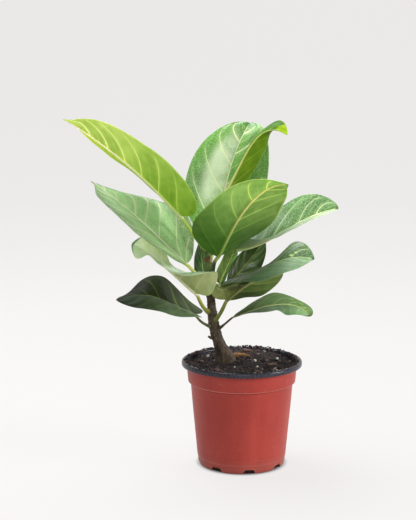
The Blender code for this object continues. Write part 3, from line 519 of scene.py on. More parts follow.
def tube(name, line, radius, finish, around=20, side_hint=(0, 0, 1), values=None, shape=None):
    """A round skin swept along a line: ring points are centre + radius (cos t side + sin t over),
    closed by a pole at each end. shape adds to the radius as a function of (point along, t)."""
    heads, side, over = ring_frames(line, np.asarray(side_hint, float))
    t = np.arange(around) * 2 * math.pi / around
    r = np.asarray(radius, float)[:, None] * np.ones(around)
    if shape is not None:
        r = r + shape(line, t, side, over)
    outward = np.cos(t)[:, None] * side[:, None] + np.sin(t)[:, None] * over[:, None]
    rings = line[:, None] + r[..., None] * outward
    count = len(line)
    poles = [line[0] - heads[0] * r[0].mean() * 0.3, line[-1] + heads[-1] * r[-1].mean() * 0.6]
    points = np.concatenate([rings.reshape(-1, 3), poles])
    spread = {label: np.concatenate([np.repeat(v, around), [v[0], v[-1]]])
              for label, v in (values or {}).items()}
    run = np.linspace(0, 1, count)
    uv = np.stack(np.meshgrid(run, np.linspace(0, 1, around), indexing="ij"), axis=-1).reshape(-1, 2)
    uv = np.concatenate([uv, [[0, 0.5], [1, 0.5]]])
    return piece(name, points, rings_to_quads(count, around), pole_fans(count, around), finish, spread, uv)


# ---------------------------------------------------------------- shader building
def colour(r, g, b):
    """Linear colour of an 8-bit display colour."""
    c = np.array([r, g, b]) / 255
    return (*np.where(c <= 0.04045, c / 12.92, ((c + 0.055) / 1.055) ** 2.4), 1.0)


class Board:
    """A node tree with short calls for the nodes that the finishes use."""

    def __init__(self, tree):
        self.tree = tree

    def node(self, kind, **settings):
        made = self.tree.nodes.new("ShaderNode" + kind)
        for label, value in settings.items():
            setattr(made, label, value)
        return made

    def feed(self, socket, value):
        if isinstance(value, bpy.types.NodeSocket):
            self.tree.links.new(value, socket)
        else:
            socket.default_value = value

    def maths(self, operation, a, b=None, clamp=False):
        made = self.node("Math", operation=operation, use_clamp=clamp)
        self.feed(made.inputs[0], a)
        if b is not None:
            self.feed(made.inputs[1], b)
        return made.outputs[0]

    def times(self, *values):
        made = values[0]
        for value in values[1:]:
            made = self.maths("MULTIPLY", made, value)
        return made

    def ease(self, value, low, high, start=0.0, stop=1.0):
        """start below low, stop above high, eased between."""
        made = self.node("MapRange", interpolation_type="SMOOTHSTEP")
        for label, v in (("Value", value), ("From Min", low), ("From Max", high), ("To Min", start),
                         ("To Max", stop)):
            self.feed(made.inputs[label], v)
        return made.outputs["Result"]

    def mix(self, share, a, b, blend="MIX"):
        made = self.node("Mix", data_type="RGBA", blend_type=blend)
        self.feed(made.inputs[0], share)
        self.feed(made.inputs[6], a)
        self.feed(made.inputs[7], b)
        return made.outputs[2]

    def value(self, label):
        return self.node("Attribute", attribute_name=label).outputs["Fac"]

    def place(self):
        return self.node("TexCoord").outputs["Object"]

    def stretched(self, where, scale):
        made = self.node("Mapping")
        self.feed(made.inputs["Vector"], where)
        made.inputs["Scale"].default_value = scale
        return made.outputs[0]

    def noise(self, where, scale, detail=3.0, roughness=0.55):
        made = self.node("TexNoise")
        self.feed(made.inputs["Vector"], where)
        self.feed(made.inputs["Scale"], scale)
        made.inputs["Detail"].default_value = detail
        made.inputs["Roughness"].default_value = roughness
        return made.outputs[0]

    def cells(self, where, scale, feature="F1", randomness=1.0):
        made = self.node("TexVoronoi", feature=feature)
        self.feed(made.inputs["Vector"], where)
        self.feed(made.inputs["Scale"], scale)
        made.inputs["Randomness"].default_value = randomness
        return made.outputs["Distance"]

    def bump(self, height, distance, strength=1.0):
        made = self.node("Bump")
        self.feed(made.inputs["Height"], height)
        made.inputs["Distance"].default_value = distance
        made.inputs["Strength"].default_value = strength
        return made.outputs[0]


def new_group(name, colours, numbers=()):
    """A shader node group that takes those colours and numbers and gives out Colour, Roughness and
    Height: (group, board, sockets in, sockets out)."""
    group = bpy.data.node_groups.new(name, "ShaderNodeTree")
    for label in (*colours, *numbers):
        kind = "NodeSocketColor" if label in colours else "NodeSocketFloat"
        group.interface.new_socket(label, in_out="INPUT", socket_type=kind)
    for label, kind in (("Colour", "Color"), ("Roughness", "Float"), ("Height", "Float")):
        group.interface.new_socket(label, in_out="OUTPUT", socket_type="NodeSocket" + kind)
    ends = [group.nodes.new("NodeGroup" + which) for which in ("Input", "Output")]
    return group, Board(group), ends[0].outputs, ends[1].inputs


def new_finish(name):
    """A material with a bare Principled shader: (material, board, shader)."""
    made = bpy.data.materials.new(name)
    made.use_nodes = True
    board = Board(made.node_tree)
    return made, board, made.node_tree.nodes["Principled BSDF"]


def dressed(board, shader, skin, roughness, relief, depth, strength):
    """The shader given its colour, its roughness and a bump from the relief."""
    board.feed(shader.inputs["Base Color"], skin)
    board.feed(shader.inputs["Roughness"], roughness)
    board.feed(shader.inputs["Normal"], board.bump(relief, depth, strength))


def placed(board, group, *values):
    """The group set in a material, with its inputs given by name."""
    made = board.node("Group", node_tree=group)
    for given in values:
        for label, value in given.items():
            board.feed(made.inputs[label], value)
    return made.outputs


# ---------------------------------------------------------------- leaf finish
def blade_pattern():
    """Green tissue, side veins, midrib, fine network and margin of a blade, told from its values:
    upper (1 above, 0 below), phase (whole numbers on the side veins), spacing (millimetres between
    them), reach (0 midrib, 1 margin), rib (millimetres from the midrib), run (0 base, 1 tip) and
    fleck."""
    colours = ("Upper", "Under", "Deep", "Deep Below", "Vein", "Vein Below", "Rib", "Rib Below", "Tip",
               "Base Tone And Painted Light", "Tip Tone And Painted Light", "Left Tone And Painted Light", "Right Tone And Painted Light", "Edge Tone And Painted Light")
    numbers = ("Width", "Rib Width", "Margin", "Network", "Gloss Above", "Gloss Below", "Tip Start",
               "Bloom")
    group, b, given, out = new_group("blade_pattern", colours, numbers)
    upper, reach, run = b.value("upper"), b.value("reach"), b.value("run")
    phase, rib, spacing = b.value("phase"), b.value("rib"), b.value("spacing")
    where = b.place()

    # side veins, with a short weak one halfway between each two
    inside = b.times(b.maths("GREATER_THAN", phase, -0.5), b.ease(reach, 0.76, 0.97, 1.0, 0.0),
                     b.ease(run, 0.92, 0.985, 1.0, 0.0))
    part = b.maths("FRACT", b.maths("ADD", phase, 10.0))
    from_half = b.maths("ABSOLUTE", b.maths("SUBTRACT", part, 0.5))
    away = b.times(b.maths("SUBTRACT", 0.5, from_half), spacing)
    width = b.times(given["Width"], b.ease(reach, 0.0, 1.0, 0.72, 0.30))
    side = b.times(b.ease(away, b.times(width, 0.3), width, 1.0, 0.0), inside)
    soft = b.times(b.ease(away, 0.0, b.times(given["Width"], 3.6), 1.0, 0.0), inside)
    minor = b.times(b.ease(b.times(from_half, spacing), 0.1, b.times(given["Width"], 0.45), 1.0, 0.0),
                    b.ease(reach, 0.25, 0.6, 0.4, 0.0), inside)

    # midrib and network
    rib_width = b.times(given["Rib Width"], b.ease(run, 0.0, 1.0, 1.0, 0.3))
    middle = b.ease(b.maths("ABSOLUTE", rib), b.times(rib_width, 0.5), rib_width, 1.0, 0.0)
    net = b.ease(b.cells(where, 300.0, "DISTANCE_TO_EDGE"), 0.01, 0.10, 1.0, 0.0)
    fine = b.ease(b.cells(where, 640.0, "DISTANCE_TO_EDGE"), 0.0, 0.12, 1.0, 0.0)
    web = b.times(b.maths("ADD", net, b.times(fine, 0.6)), given["Network"], 0.55)

    # tissue: lighter and deeper patches, and darker alongside the midrib
    tissue = b.mix(upper, given["Under"], given["Upper"])
    deep = b.mix(upper, given["Deep Below"], given["Deep"])
    vein = b.mix(upper, given["Vein Below"], given["Vein"])
    patches = b.maths("ADD", b.times(b.noise(where, 24.0, 3.0), 0.7), b.times(b.noise(where, 95.0, 3.0), 0.3))
    tissue = b.mix(b.ease(patches, 0.36, 0.62, 0.0, 0.75), tissue, deep)
    # Tints of the two halves and towards the margin: partly the leaf's own tone, partly painted light and
    # shade.
    right = b.ease(rib, -1.0, 1.0)
    tissue = b.mix(1.0, tissue, b.mix(right, given["Left Tone And Painted Light"], given["Right Tone And Painted Light"]), "MULTIPLY")
    tissue = b.mix(b.ease(reach, 0.25, 1.0), tissue, b.mix(1.0, tissue, given["Edge Tone And Painted Light"], "MULTIPLY"))
    # Painted sheen: a pale painted highlight beside the midrib on the upper side, in place of a reflection.
    bloom = b.times(b.ease(rib, -2.5, 0.5, 1.0, 0.0), b.ease(reach, 0.42, 0.72, 1.0, 0.0),
                    b.ease(run, 0.16, 0.42), b.ease(run, 0.72, 0.96, 1.0, 0.0),
                    b.ease(patches, 0.36, 0.56, 0.45, 1.0), given["Bloom"], upper)
    tissue = b.mix(bloom, tissue, (0.80, 0.93, 0.66, 1))
    speck = b.noise(where, 330.0, 4.0, 0.7)
    tissue = b.mix(b.times(b.ease(speck, 0.45, 0.75, 0.0, 0.5), given["Network"]), tissue, vein)
    tissue = b.mix(b.times(soft, 0.16), tissue, vein)
    tissue = b.mix(web, tissue, vein)
    tissue = b.mix(b.times(b.ease(reach, 0.955, 0.99), given["Margin"]), tissue, vein)
    tissue = b.mix(b.times(b.maths("MAXIMUM", side, minor), 0.9), tissue, vein)
    tissue = b.mix(b.times(b.value("fleck"), 0.8), tissue, (0.50, 0.68, 0.20, 1))
    tissue = b.mix(middle, tissue, b.mix(upper, given["Rib Below"], given["Rib"]))
    # Base-to-tip tint: partly the leaf's own tone, partly painted light and shade.
    lengthwise = b.mix(b.ease(run, 0.1, 0.9), given["Base Tone And Painted Light"], given["Tip Tone And Painted Light"])
    tissue = b.mix(1.0, tissue, lengthwise, "MULTIPLY")
    tip = b.ease(run, given["Tip Start"], b.maths("ADD", given["Tip Start"], 0.035))
    b.feed(out["Colour"], b.mix(tip, tissue, given["Tip"]))

    gloss = b.maths("ADD", b.times(upper, b.maths("SUBTRACT", given["Gloss Above"], given["Gloss Below"])),
                    given["Gloss Below"])
    gloss = b.maths("ADD", gloss, b.times(b.maths("SUBTRACT", b.noise(where, 90.0, 3.0), 0.5), 0.14))
    b.feed(out["Roughness"], b.maths("ADD", gloss, b.times(side, 0.08), clamp=True))
    sunk = b.maths("SUBTRACT", 1.0, b.times(upper, 2.0))
    height = b.maths("ADD", b.times(b.maths("ADD", side, b.times(middle, 0.8)), sunk, 0.6),
                     b.times(b.maths("ADD", net, b.times(fine, 0.4)), sunk, 0.22))
    b.feed(out["Height"], b.maths("ADD", height, b.times(speck, 0.12)))
    return group


def leaf_finish(name, look, pattern):
    """Waxy above and paler below; part of the light goes through the blade."""
    made, b, shader = new_finish(name)
    skins = {"Upper": look["upper"][0], "Deep": look["upper"][1], "Under": look["under"][0],
             "Deep Below": look["under"][1]}
    skins.update((label, look[label.lower().replace(" ", "_")])
                 for label in ("Vein", "Vein Below", "Rib", "Rib Below", "Tip"))
    # These tints are partly the leaf's own tone and partly painted light and shade.
    tones = dict(zip(("Base Tone And Painted Light", "Tip Tone And Painted Light", "Left Tone And Painted Light", "Right Tone And Painted Light", "Edge Tone And Painted Light"),
                     (*look["fade"], *look["halves"], look["edge"])))
    numbers = {label: look[label.lower().replace(" ", "_")]
               for label in ("Width", "Rib Width", "Margin", "Network", "Tip Start", "Bloom")}
    out = placed(b, pattern, {label: colour(*rgb) for label, rgb in skins.items()},
                 {label: (*tone, 1) for label, tone in tones.items()}, numbers,
                 {"Gloss Above": look["gloss"][0], "Gloss Below": look["gloss"][1]})
    b.feed(shader.inputs["Base Color"], out["Colour"])
    b.feed(shader.inputs["Roughness"], out["Roughness"])
    normal = b.bump(out["Height"], 0.0003, 0.55)
    b.feed(shader.inputs["Normal"], normal)
    shader.inputs["IOR"].default_value = 1.45
    shader.inputs["Specular IOR Level"].default_value = look["shine"]
    through = b.node("BsdfTranslucent")
    b.feed(through.inputs["Color"], b.mix(1.0, out["Colour"], (1.0, 1.0, 0.8, 1), "MULTIPLY"))
    both = b.node("MixShader")
    both.inputs[0].default_value = look["glow"]
    b.feed(both.inputs[1], shader.outputs[0])
    b.feed(both.inputs[2], through.outputs[0])
    b.feed(made.node_tree.nodes["Material Output"].inputs["Surface"], both.outputs[0])
    return made


def stalk_pattern():
    """Petiole and raised midrib told from run (0 to 1 on the petiole, 1 to 2 on the midrib):
    petiole colour up to the blade, the midrib's own colour beyond, tinted from base to tip partly by
    painted light and shade, with brown streaks."""
    group, b, given, out = new_group("stalk_pattern",
                                     ("Stalk", "Rib Below", "Tip", "Base Tone And Painted Light", "Tip Tone And Painted Light"))
    run = b.value("run")
    streak = b.noise(b.stretched(b.place(), (1.0, 1.0, 0.35)), 420.0, 3.0)
    skin = b.mix(b.ease(run, 0.85, 1.05), given["Stalk"], given["Rib Below"])
    # The blade's base-to-tip tint, partly painted light and shade, runs on along the midrib.
    tone = b.mix(b.ease(run, 1.1, 1.9), given["Base Tone And Painted Light"], given["Tip Tone And Painted Light"])
    skin = b.mix(b.ease(run, 0.95, 1.05), skin, b.mix(1.0, skin, tone, "MULTIPLY"))
    skin = b.mix(b.ease(run, 1.85, 2.0, 0.0, 0.8), skin, given["Tip"])
    skin = b.mix(b.ease(run, 0.0, 0.25, 0.55, 0.0), skin, (0.06, 0.05, 0.025, 1))
    brown = b.times(b.ease(streak, 0.4, 0.75), b.ease(run, 0.6, 1.1, 0.35, 0.05))
    b.feed(out["Colour"], b.mix(brown, skin, b.mix(0.6, skin, (0.45, 0.36, 0.25, 1), "MULTIPLY")))
    b.feed(out["Roughness"], b.ease(streak, 0.3, 0.8, 0.42, 0.6))
    b.feed(out["Height"], streak)
    return group


def stalk_finish(name, look, pattern):
    """The petiole pattern in one leaf's colours."""
    made, b, shader = new_finish(name)
    out = placed(b, pattern, {"Stalk": colour(*look["stalk"]), "Rib Below": colour(*look["rib_below"]),
                              "Tip": colour(*look["tip"]), "Base Tone And Painted Light": (*look["fade"][0], 1),
                              "Tip Tone And Painted Light": (*look["fade"][1], 1)})
    dressed(b, shader, out["Colour"], out["Roughness"], out["Height"], 0.0003, 0.5)
    return made


# ---------------------------------------------------------------- leaves
def half_width(leaf, side, u):
    """Half width at u: u^a (1 - u)^b scaled to the widest half width, times its swell if it has one."""
    a, b = leaf["ends"]
    widest = a / (a + b)
    outline = u ** a * np.maximum(1 - u, 0) ** b / (widest ** a * (1 - widest) ** b)
    swell = along(leaf["swell"][side], u) if "swell" in leaf else 1
    return leaf["half"][side] * outline * swell


def spine_frame(leaf, u):
    """Points along the midrib, its heading, and the way the blade faces, made square to it."""
    spine, heading = bezier(leaf["spine"], u), bezier_heading(leaf["spine"], u)
    face = along(leaf["face"], u)
    return spine, heading, unit(face - (face * heading).sum(-1, keepdims=True) * heading)


def blade_sheet(leaf, u, v):
    """Points of a blade's middle surface: a Bezier midrib, from which each half rises by its fold
    angle and bends on along an arc by its curl, its side veins leaning by the lean values."""
    spine, heading, up = spine_frame(leaf, u)
    right = np.cross(heading, up)
    grid = np.zeros((len(u), len(v), 3))
    for side, pick in ((0, v < 0), (1, v >= 0)):
        across = np.abs(v[pick])[None, :]
        half = half_width(leaf, side, u)[:, None]
        fold = np.radians(along(leaf["fold"][side], u))[:, None]
        bend = leaf["curl"][side]
        curl = np.radians(along([0.3 * bend, bend, 0.6 * bend], u))[:, None]
        curl = np.where(np.abs(curl) < 1e-4, 1e-4, curl)
        out = half * (np.sin(fold + curl * across) - np.sin(fold)) / curl
        rise = half * (np.cos(fold) - np.cos(fold + curl * across)) / curl
        lean = leaf.get("lean", (-0.25, 0.35))
        lean = lean[2 * side:2 * side + 2] if len(lean) == 4 else lean
        lean = along(lean, u)[:, None] * half * across ** 1.6
        sign = -1 if side == 0 else 1
        grid[:, pick] = (spine[:, None] + sign * out[..., None] * right[:, None]
                         + rise[..., None] * up[:, None] + lean[..., None] * heading[:, None])
    return grid


def side_vein_phase(veins, u, reach):
    """Whole numbers on the side veins of one half and the spacing there as a share of the length.
    Each vein starts at its own u on the midrib and sweeps forward on its way to the margin, a little
    more so near the margin; the phase runs evenly from one vein to the next."""
    at = [start + sweep * (0.86 * reach + 0.14 * reach ** 3) for start, sweep in veins]
    phase = np.minimum(u - at[0], 0) / 0.16
    spacing = np.full_like(phase, 0.16)
    for low, high in zip(at, at[1:]):
        gap = np.maximum(high - low, 0.02)
        phase = phase + np.clip((u - low) / gap, 0, 1)
        spacing = np.where(u > (low + high) / 2, gap, spacing)
    return phase + np.maximum(u - at[-1], 0) / 0.16, spacing


SIDE_ROOM = 1.5      # how near a side of the CAD's box a blade may come before it is eased back


def held_inside(points):
    """The points eased back near the sides of the CAD's box, so that none passes it: a depth below
    the side that is less than SIDE_ROOM becomes SIDE_ROOM times e^(depth / SIDE_ROOM - 1)."""
    for axis in range(3):
        for side, limit in ((-1, cad_low[axis]), (1, cad_high[axis])):
            depth = side * (limit / MM - points[..., axis])
            near = SIDE_ROOM * np.exp(np.minimum(depth, SIDE_ROOM) / SIDE_ROOM - 1)
            eased = np.where(depth < SIDE_ROOM, near, depth)
            points[..., axis] += side * (depth - eased)
    return points


def build_leaf(name, blade_look, stalk_look):
    """A blade as a grid: u runs from base to tip, closer near both, and v from margin to margin, a
    little closer towards them. Each point of the middle surface moves along its normal by pillows
    between the side veins plus soft ripples less a crease at the midrib, and by half the thickness
    up or down. The veins sink into the upper skin and stand out of the lower one."""
    leaf, look = LEAVES[name], {**LOOK_UNLESS_GIVEN, **LOOKS[name]}
    rows, columns = (150, 104) if name in LARGE else (104, 72)
    seed = int(name[-2:])
    ease = np.linspace(0, 1, rows)
    u = 0.0025 + 0.995 * (ease - 0.105 * np.sin(2 * math.pi * ease) / math.pi * 1.4)
    v = np.linspace(-1, 1, columns + 1)
    v = np.sign(v) * np.abs(v) ** 0.9
    sheet = blade_sheet(leaf, u, v)
    normal = unit(np.cross(np.gradient(sheet, axis=1), np.gradient(sheet, axis=0)))
    reach = np.abs(v)[None, :] * np.ones((rows, 1))
    run = u[:, None] * np.ones((1, columns + 1))
    half = np.where(v < 0, half_width(leaf, 0, u)[:, None], half_width(leaf, 1, u)[:, None])
    length = np.linalg.norm(np.diff(bezier(leaf["spine"], np.linspace(0, 1, 60)), axis=0), axis=1).sum()
    halves = [side_vein_phase(veins, run, reach) for veins in SIDE_VEINS.get(name, SIDE_VEINS["other"])]
    phases = [half_phase for half_phase, _ in halves]
    phase = np.where(v[None, :] < 0, phases[0], phases[1])
    spacing = np.where(v[None, :] < 0, halves[0][1], halves[1][1]) * length * 0.85
    part = phase - np.floor(phase)
    away = (0.5 - np.abs(part - 0.5)) * spacing
    inside = smooth(0.98, 0.8, reach) * smooth(0.99, 0.9, run) * (phase > -0.5)
    vein = np.exp(-(away / 1.0) ** 2) * inside
    pillow = (np.sin(math.pi * part) ** 2 * smooth(0.0, 0.2, reach) * smooth(1.0, 0.75, reach)
              * smooth(0, 0.1, run))
    ripple = 0.8 * cloud(sheet, 26.0, seed, 2) * smooth(0, 0.15, run) * (0.35 + 0.65 * reach ** 2)
    crease = 0.25 * np.exp(-(reach * half / 1.3) ** 2) * smooth(1, 0.8, run)
    lift = (PILLOW * pillow + ripple - crease) * smooth(0, 6, half)
    thick = (BLADE_T + (MARGIN_T - BLADE_T) * smooth(0.7, 1, reach)) / 2 * smooth(1.05, 0.9, run)
    top = sheet + normal * (lift + thick - 0.10 * vein)[..., None]
    bottom = sheet + normal * (lift - thick - VEIN_H * vein * (1 - 0.6 * reach))[..., None]
    rings = held_inside(np.concatenate([top, bottom[:, ::-1]], axis=1))
    around = rings.shape[1]
    quads = folded_rings_to_quads(rows, around)

    def both(a, b):
        return np.concatenate([a, b[:, ::-1]], axis=1).ravel()

    fleck = np.zeros_like(reach)
    for fu, fv, fr in FLECKS.get(name, ()):
        spread = np.hypot((run - fu), (v[None, :] - fv) * 0.35) / fr
        fleck = np.maximum(fleck, smooth(1.0, 0.5, spread + 0.5 * cloud(sheet, 4.0, seed + 7, 2)))
    values = {
        "upper": both(np.ones_like(reach), np.zeros_like(reach)),
        "reach": both(reach, reach), "run": both(run, run), "rib": both(v * half, v * half),
        "spacing": both(spacing, spacing), "fleck": both(fleck, fleck),
    }
    uv = np.stack([both(run, run), both(v / 2 + 0.5 + 0 * run, v / 2 + 0.5 + 0 * run)], axis=1)
    finish = leaf_finish(name + "_blade", look, blade_look)
    blade = piece(name + "_blade", rings.reshape(-1, 3), quads, None, finish, values, uv)
    column = quads.reshape(-1, 4) % around
    place = np.concatenate([v, v[::-1]])
    is_right = place[column].mean(axis=1) > 0
    corner_value_layer(blade, "phase", both(phases[0], phases[0]), both(phases[1], phases[1]), is_right)
    finished(blade, "leaf", name)
    build_stalk(name, leaf, look, stalk_look, u, lift[:, columns // 2])


def build_stalk(name, leaf, look, pattern, u, lift):
    """Petiole from inside the stem to the blade, running on as the ridge under the midrib, which
    follows the blade's lift along its middle."""
    radius = PETIOLE_R.get(name, 2.0)
    first, second = np.linspace(0, 1, 30)[:-1], np.linspace(0, 0.985, 70)
    spine, _, up = spine_frame(leaf, second)
    ridge = radius * 0.64 * (1 - second) ** 0.9 + 0.28
    sink = (np.where(second < 0.06, ridge * smooth(-0.01, 0.06, second), ridge) + 0.15
            - np.interp(second, u, lift))
    under = spine - up * np.maximum(sink, 0)[:, None]
    line = np.concatenate([bezier(leaf["stalk"], first), under])
    # the joint is eased by averaging neighbours a few times
    for _ in range(6):
        line[1:-1] = line[1:-1] * 0.5 + (line[:-2] + line[2:]) * 0.25
    petiole = radius * (1.0 + 0.55 * smooth(0.35, 0.0, first) - 0.10 * smooth(0.5, 0.9, first))
    size = np.concatenate([petiole, ridge + (radius * 0.9 - ridge[0]) * smooth(0.05, 0.0, second)])
    run = np.concatenate([first, 1 + second])
    stalk = tube(name + "_stalk", line, size, stalk_finish(name + "_stalk", look, pattern), 18,
                 side_hint=up[0], values={"run": run})
    finished(stalk, "leaf", name)


def finished(obj, slot, *nodes):
    """The piece rides on the plant's one body, in place of those nodes; slot is not used."""
    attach(obj, "root")
    if nodes:
        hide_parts(*nodes)


# ---------------------------------------------------------------- stem
BARK_RIDGE = 0.35    # depth of the bark's lengthwise grain
SCAR_Z = (141, 150, 163, 176, 189)   # old leaf scars on the bare part


def bark_shape(line, t, side, over):
    """Added radius: three soft buttresses at the foot, lengthwise grain, and a ring at each scar."""
    z = line[:, 2:3]
    flare = np.clip(1 - np.abs(z - 124) / 16, 0, None)
    r = np.interp(z[:, 0], [p[2] for p in STEM], [p[3] for p in STEM])[:, None]
    swell = r * (0.13 * flare * np.cos(3 * t + 0.6) + 0.035 * np.sin(2 * t + z * 0.11))
    spot = np.stack([np.cos(t) * r, np.sin(t) * r, z * 0.22 * np.ones_like(t)], axis=-1)
    grain = BARK_RIDGE * cloud(spot, 2.6, 11, 2) * smooth(285, 240, z) * (0.5 + 0.5 * smooth(230, 170, z))
    skin = np.stack([np.cos(t) * r, np.sin(t) * r, z + 0 * t], axis=-1)
    knobs = 0.5 * cloud(skin, 9.0, 31, 2) * smooth(270, 200, z)
    rings = 0
    for k, scar in enumerate(SCAR_Z + tuple(leaf["stalk"][0][2] for leaf in LEAVES.values())):
        level = scar - 1.5 + 0.8 * np.sin(t + k)
        rings = (rings + 0.28 * np.exp(-((z - level) / 0.9) ** 2)
                 - 0.16 * np.exp(-((z - level - 1.8) / 0.8) ** 2))
    return swell + grain + knobs + rings * smooth(292, 270, z)


def bark_finish():
    """Dark brown bark with grey flakes and pale pores, turning olive and then green with height."""
    made, b, shader = new_finish("stem_bark")
    where = b.place()
    height = b.node("SeparateXYZ")
    b.feed(height.inputs[0], where)
    up = b.maths("ADD", height.outputs[2], b.times(b.maths("SUBTRACT", b.noise(where, 60.0), 0.5), 0.05))
    grain = b.noise(b.stretched(where, (1.0, 1.0, 0.25)), 380.0, 5.0, 0.65)
    flakes = b.noise(b.stretched(where, (1.0, 1.0, 0.5)), 150.0, 4.0, 0.6)
    bark = b.mix(b.ease(grain, 0.3, 0.7), colour(34, 26, 20), colour(90, 72, 56))
    bark = b.mix(b.ease(flakes, 0.5, 0.75, 0.0, 0.6), bark, colour(88, 80, 68))
    bark = b.mix(b.ease(flakes, 0.45, 0.3, 0.0, 0.5), bark, colour(66, 62, 30))
    green = b.mix(b.ease(grain, 0.35, 0.75), colour(70, 96, 38), colour(112, 132, 60))
    skin = b.mix(b.ease(up, 0.222, 0.262), bark, green)
    pore = b.cells(b.stretched(where, (1.0, 1.0, 0.6)), 230.0)
    pores = b.ease(pore, 0.12, 0.22, 1.0, 0.0)
    skin = b.mix(b.times(pores, 0.5), skin, colour(140, 122, 98))
    relief = b.maths("ADD", grain, b.times(pores, 0.5))
    dressed(b, shader, skin, b.ease(up, 0.2, 0.26, 0.82, 0.5), relief, 0.0012, 0.9)
    return made


def root_finish():
    """Orange-brown root skin with fine rings across it."""
    made, b, shader = new_finish("root_skin")
    where = b.place()
    grain = b.noise(b.stretched(where, (1.0, 0.35, 1.0)), 420.0, 4.0, 0.6)
    skin = b.mix(b.ease(grain, 0.3, 0.75), colour(74, 48, 26), colour(150, 108, 58))
    dressed(b, shader, skin, b.ease(grain, 0.2, 0.8, 0.7, 0.9), grain, 0.0008, 0.8)
    return made


def limb(table, count):
    """Centre line and radius of a limb, as one smooth curve through its table."""
    curve = curve_through(table, count)
    return curve[:, :3], curve[:, 3]


def build_stem():
    """Trunk, surface root and twig stub: round skins swept along smooth curves, roughened by noise."""
    bark = bark_finish()
    trunk = tube("stem_trunk", *limb(STEM, 420), bark, 56, side_hint=(0, 1, 0), shape=bark_shape)
    finished(trunk, "stem_bark", "stem")

    def knots(line, t, side, over):
        return 0.35 * cloud(line[:, None] + 3 * np.cos(t)[:, None] * side[:, None]
                            + 3 * np.sin(t)[:, None] * over[:, None], 3.0, 17, 2)

    finished(tube("surface_root", *limb(ROOT, 60), root_finish(), 24, shape=knots), "stem_bark", "stem")
    finished(tube("dead_twig_stub", *limb(STUB, 24), bark, 16, shape=knots), "stem_bark", "stem")


# ---------------------------------------------------------------- stipule scraps
def build_scraps():
    """Dried scraps curled round the stem: an arc of a cylinder, narrowing and flaring upwards, with
    a ragged top edge and lengthwise ribs."""
    for name, foot, top, start, stop, thick, flare in SCRAPS:
        made, b, shader = new_finish(name)
        pale = name == "stipule_flake"
        fibre = b.noise(b.stretched(b.place(), (1.0, 1.0, 0.2)), 900.0, 4.0)
        tones = ((150, 118, 66), (232, 214, 166)) if pale else ((74, 46, 30), (150, 104, 72))
        skin = b.mix(b.ease(fibre, 0.3, 0.7), colour(*tones[0]), colour(*tones[1]))
        dressed(b, shader, skin, 0.75, fibre, 0.0005, 0.8)
        level, share = np.meshgrid(np.linspace(0, 1, 28), np.linspace(-0.5, 0.5, 36), indexing="ij")
        ragged = np.abs(cloud(np.stack([share * 9, level * 0, share * 0], -1), 1.0, 5))
        z = foot + (top - foot) * level * (1 - 0.22 * ragged)
        centre = np.array([np.interp(z, [p[2] for p in STEM], [p[k] for p in STEM]) for k in (0, 1, 3)])
        turn = np.radians(start + (stop - start) * (0.5 + share * (1 - 0.35 * level ** 2)))
        out = centre[2] * 1.05 + 0.4 + flare * level ** 2 + 0.12 * np.sin(share * 40)
        inner, outer = (np.stack([centre[0] + d * np.cos(turn), centre[1] + d * np.sin(turn), z], axis=-1)
                        for d in (out, out + thick * (1 - 0.6 * level)))
        rings = np.concatenate([outer, inner[:, ::-1]], axis=1)
        around = rings.shape[1]
        quads = folded_rings_to_quads(28, around)
        finished(piece(name + "_husk", rings.reshape(-1, 3), quads, None, made), "dried_stipule", name)


# ---------------------------------------------------------------- pot
def pot_profiles():
    """(radius, height) points up the outside and over the rim, then down the inside, each starting
    or ending level with the tops of the foot notches; and the foot's outer and inner corner."""
    outside = [(54.5, NOTCH_H), (54.9, 10.6), (55.3, 11.2), (56, 18), (58, 40), (60, 61), (62, 83),
               (63.6, 103.2), (63.9, 104.4), (64.5, 105.1), (66.1, 105.4), (66.7, 105.9), (67, 107),
               (67.8, 116), (68.6, 126), (68.8, 129.6)]
    rim = [(69.0, 130.4), (69.8, 130.8), (72.4, 130.7), (73.4, 130.2), (73.7, 129.2), (73.75, 127.0),
           (73.95, 126.3), (74.5, 126.1), (74.9, 126.5), (75.0, 127.4), (75.0, 129.6), (74.8, 130.8),
           (74.1, 131.6), (72.9, 132.0), (70.2, 132.0), (68.7, 131.8), (67.9, 131.2)]
    inside = [(67.6, 130.0), (67.4, 126), (65.8, 107.2), (65.2, 106.5), (63.5, 106), (62.8, 105), (60.8, 83),
              (58.8, 61), (56.8, 40), (54.8, 18), (53.3, NOTCH_H)]
    foot_out = [(46.5, 0.0), (48.6, 0.0), (51.0, 0.0), (52.0, 0.15), (52.7, 0.6), (53.2, 1.3), (53.6, 2.2),
                (54.1, 3.8), (54.5, NOTCH_H)]
    foot_in = [(46.5, 1.2), (47.8, 1.2), (49.6, 1.25), (51.0, 1.6), (51.8, 2.2), (52.3, 2.9), (52.6, 3.6),
               (52.9, 4.8), (53.3, NOTCH_H)]
    return outside, rim, inside, foot_out, foot_in


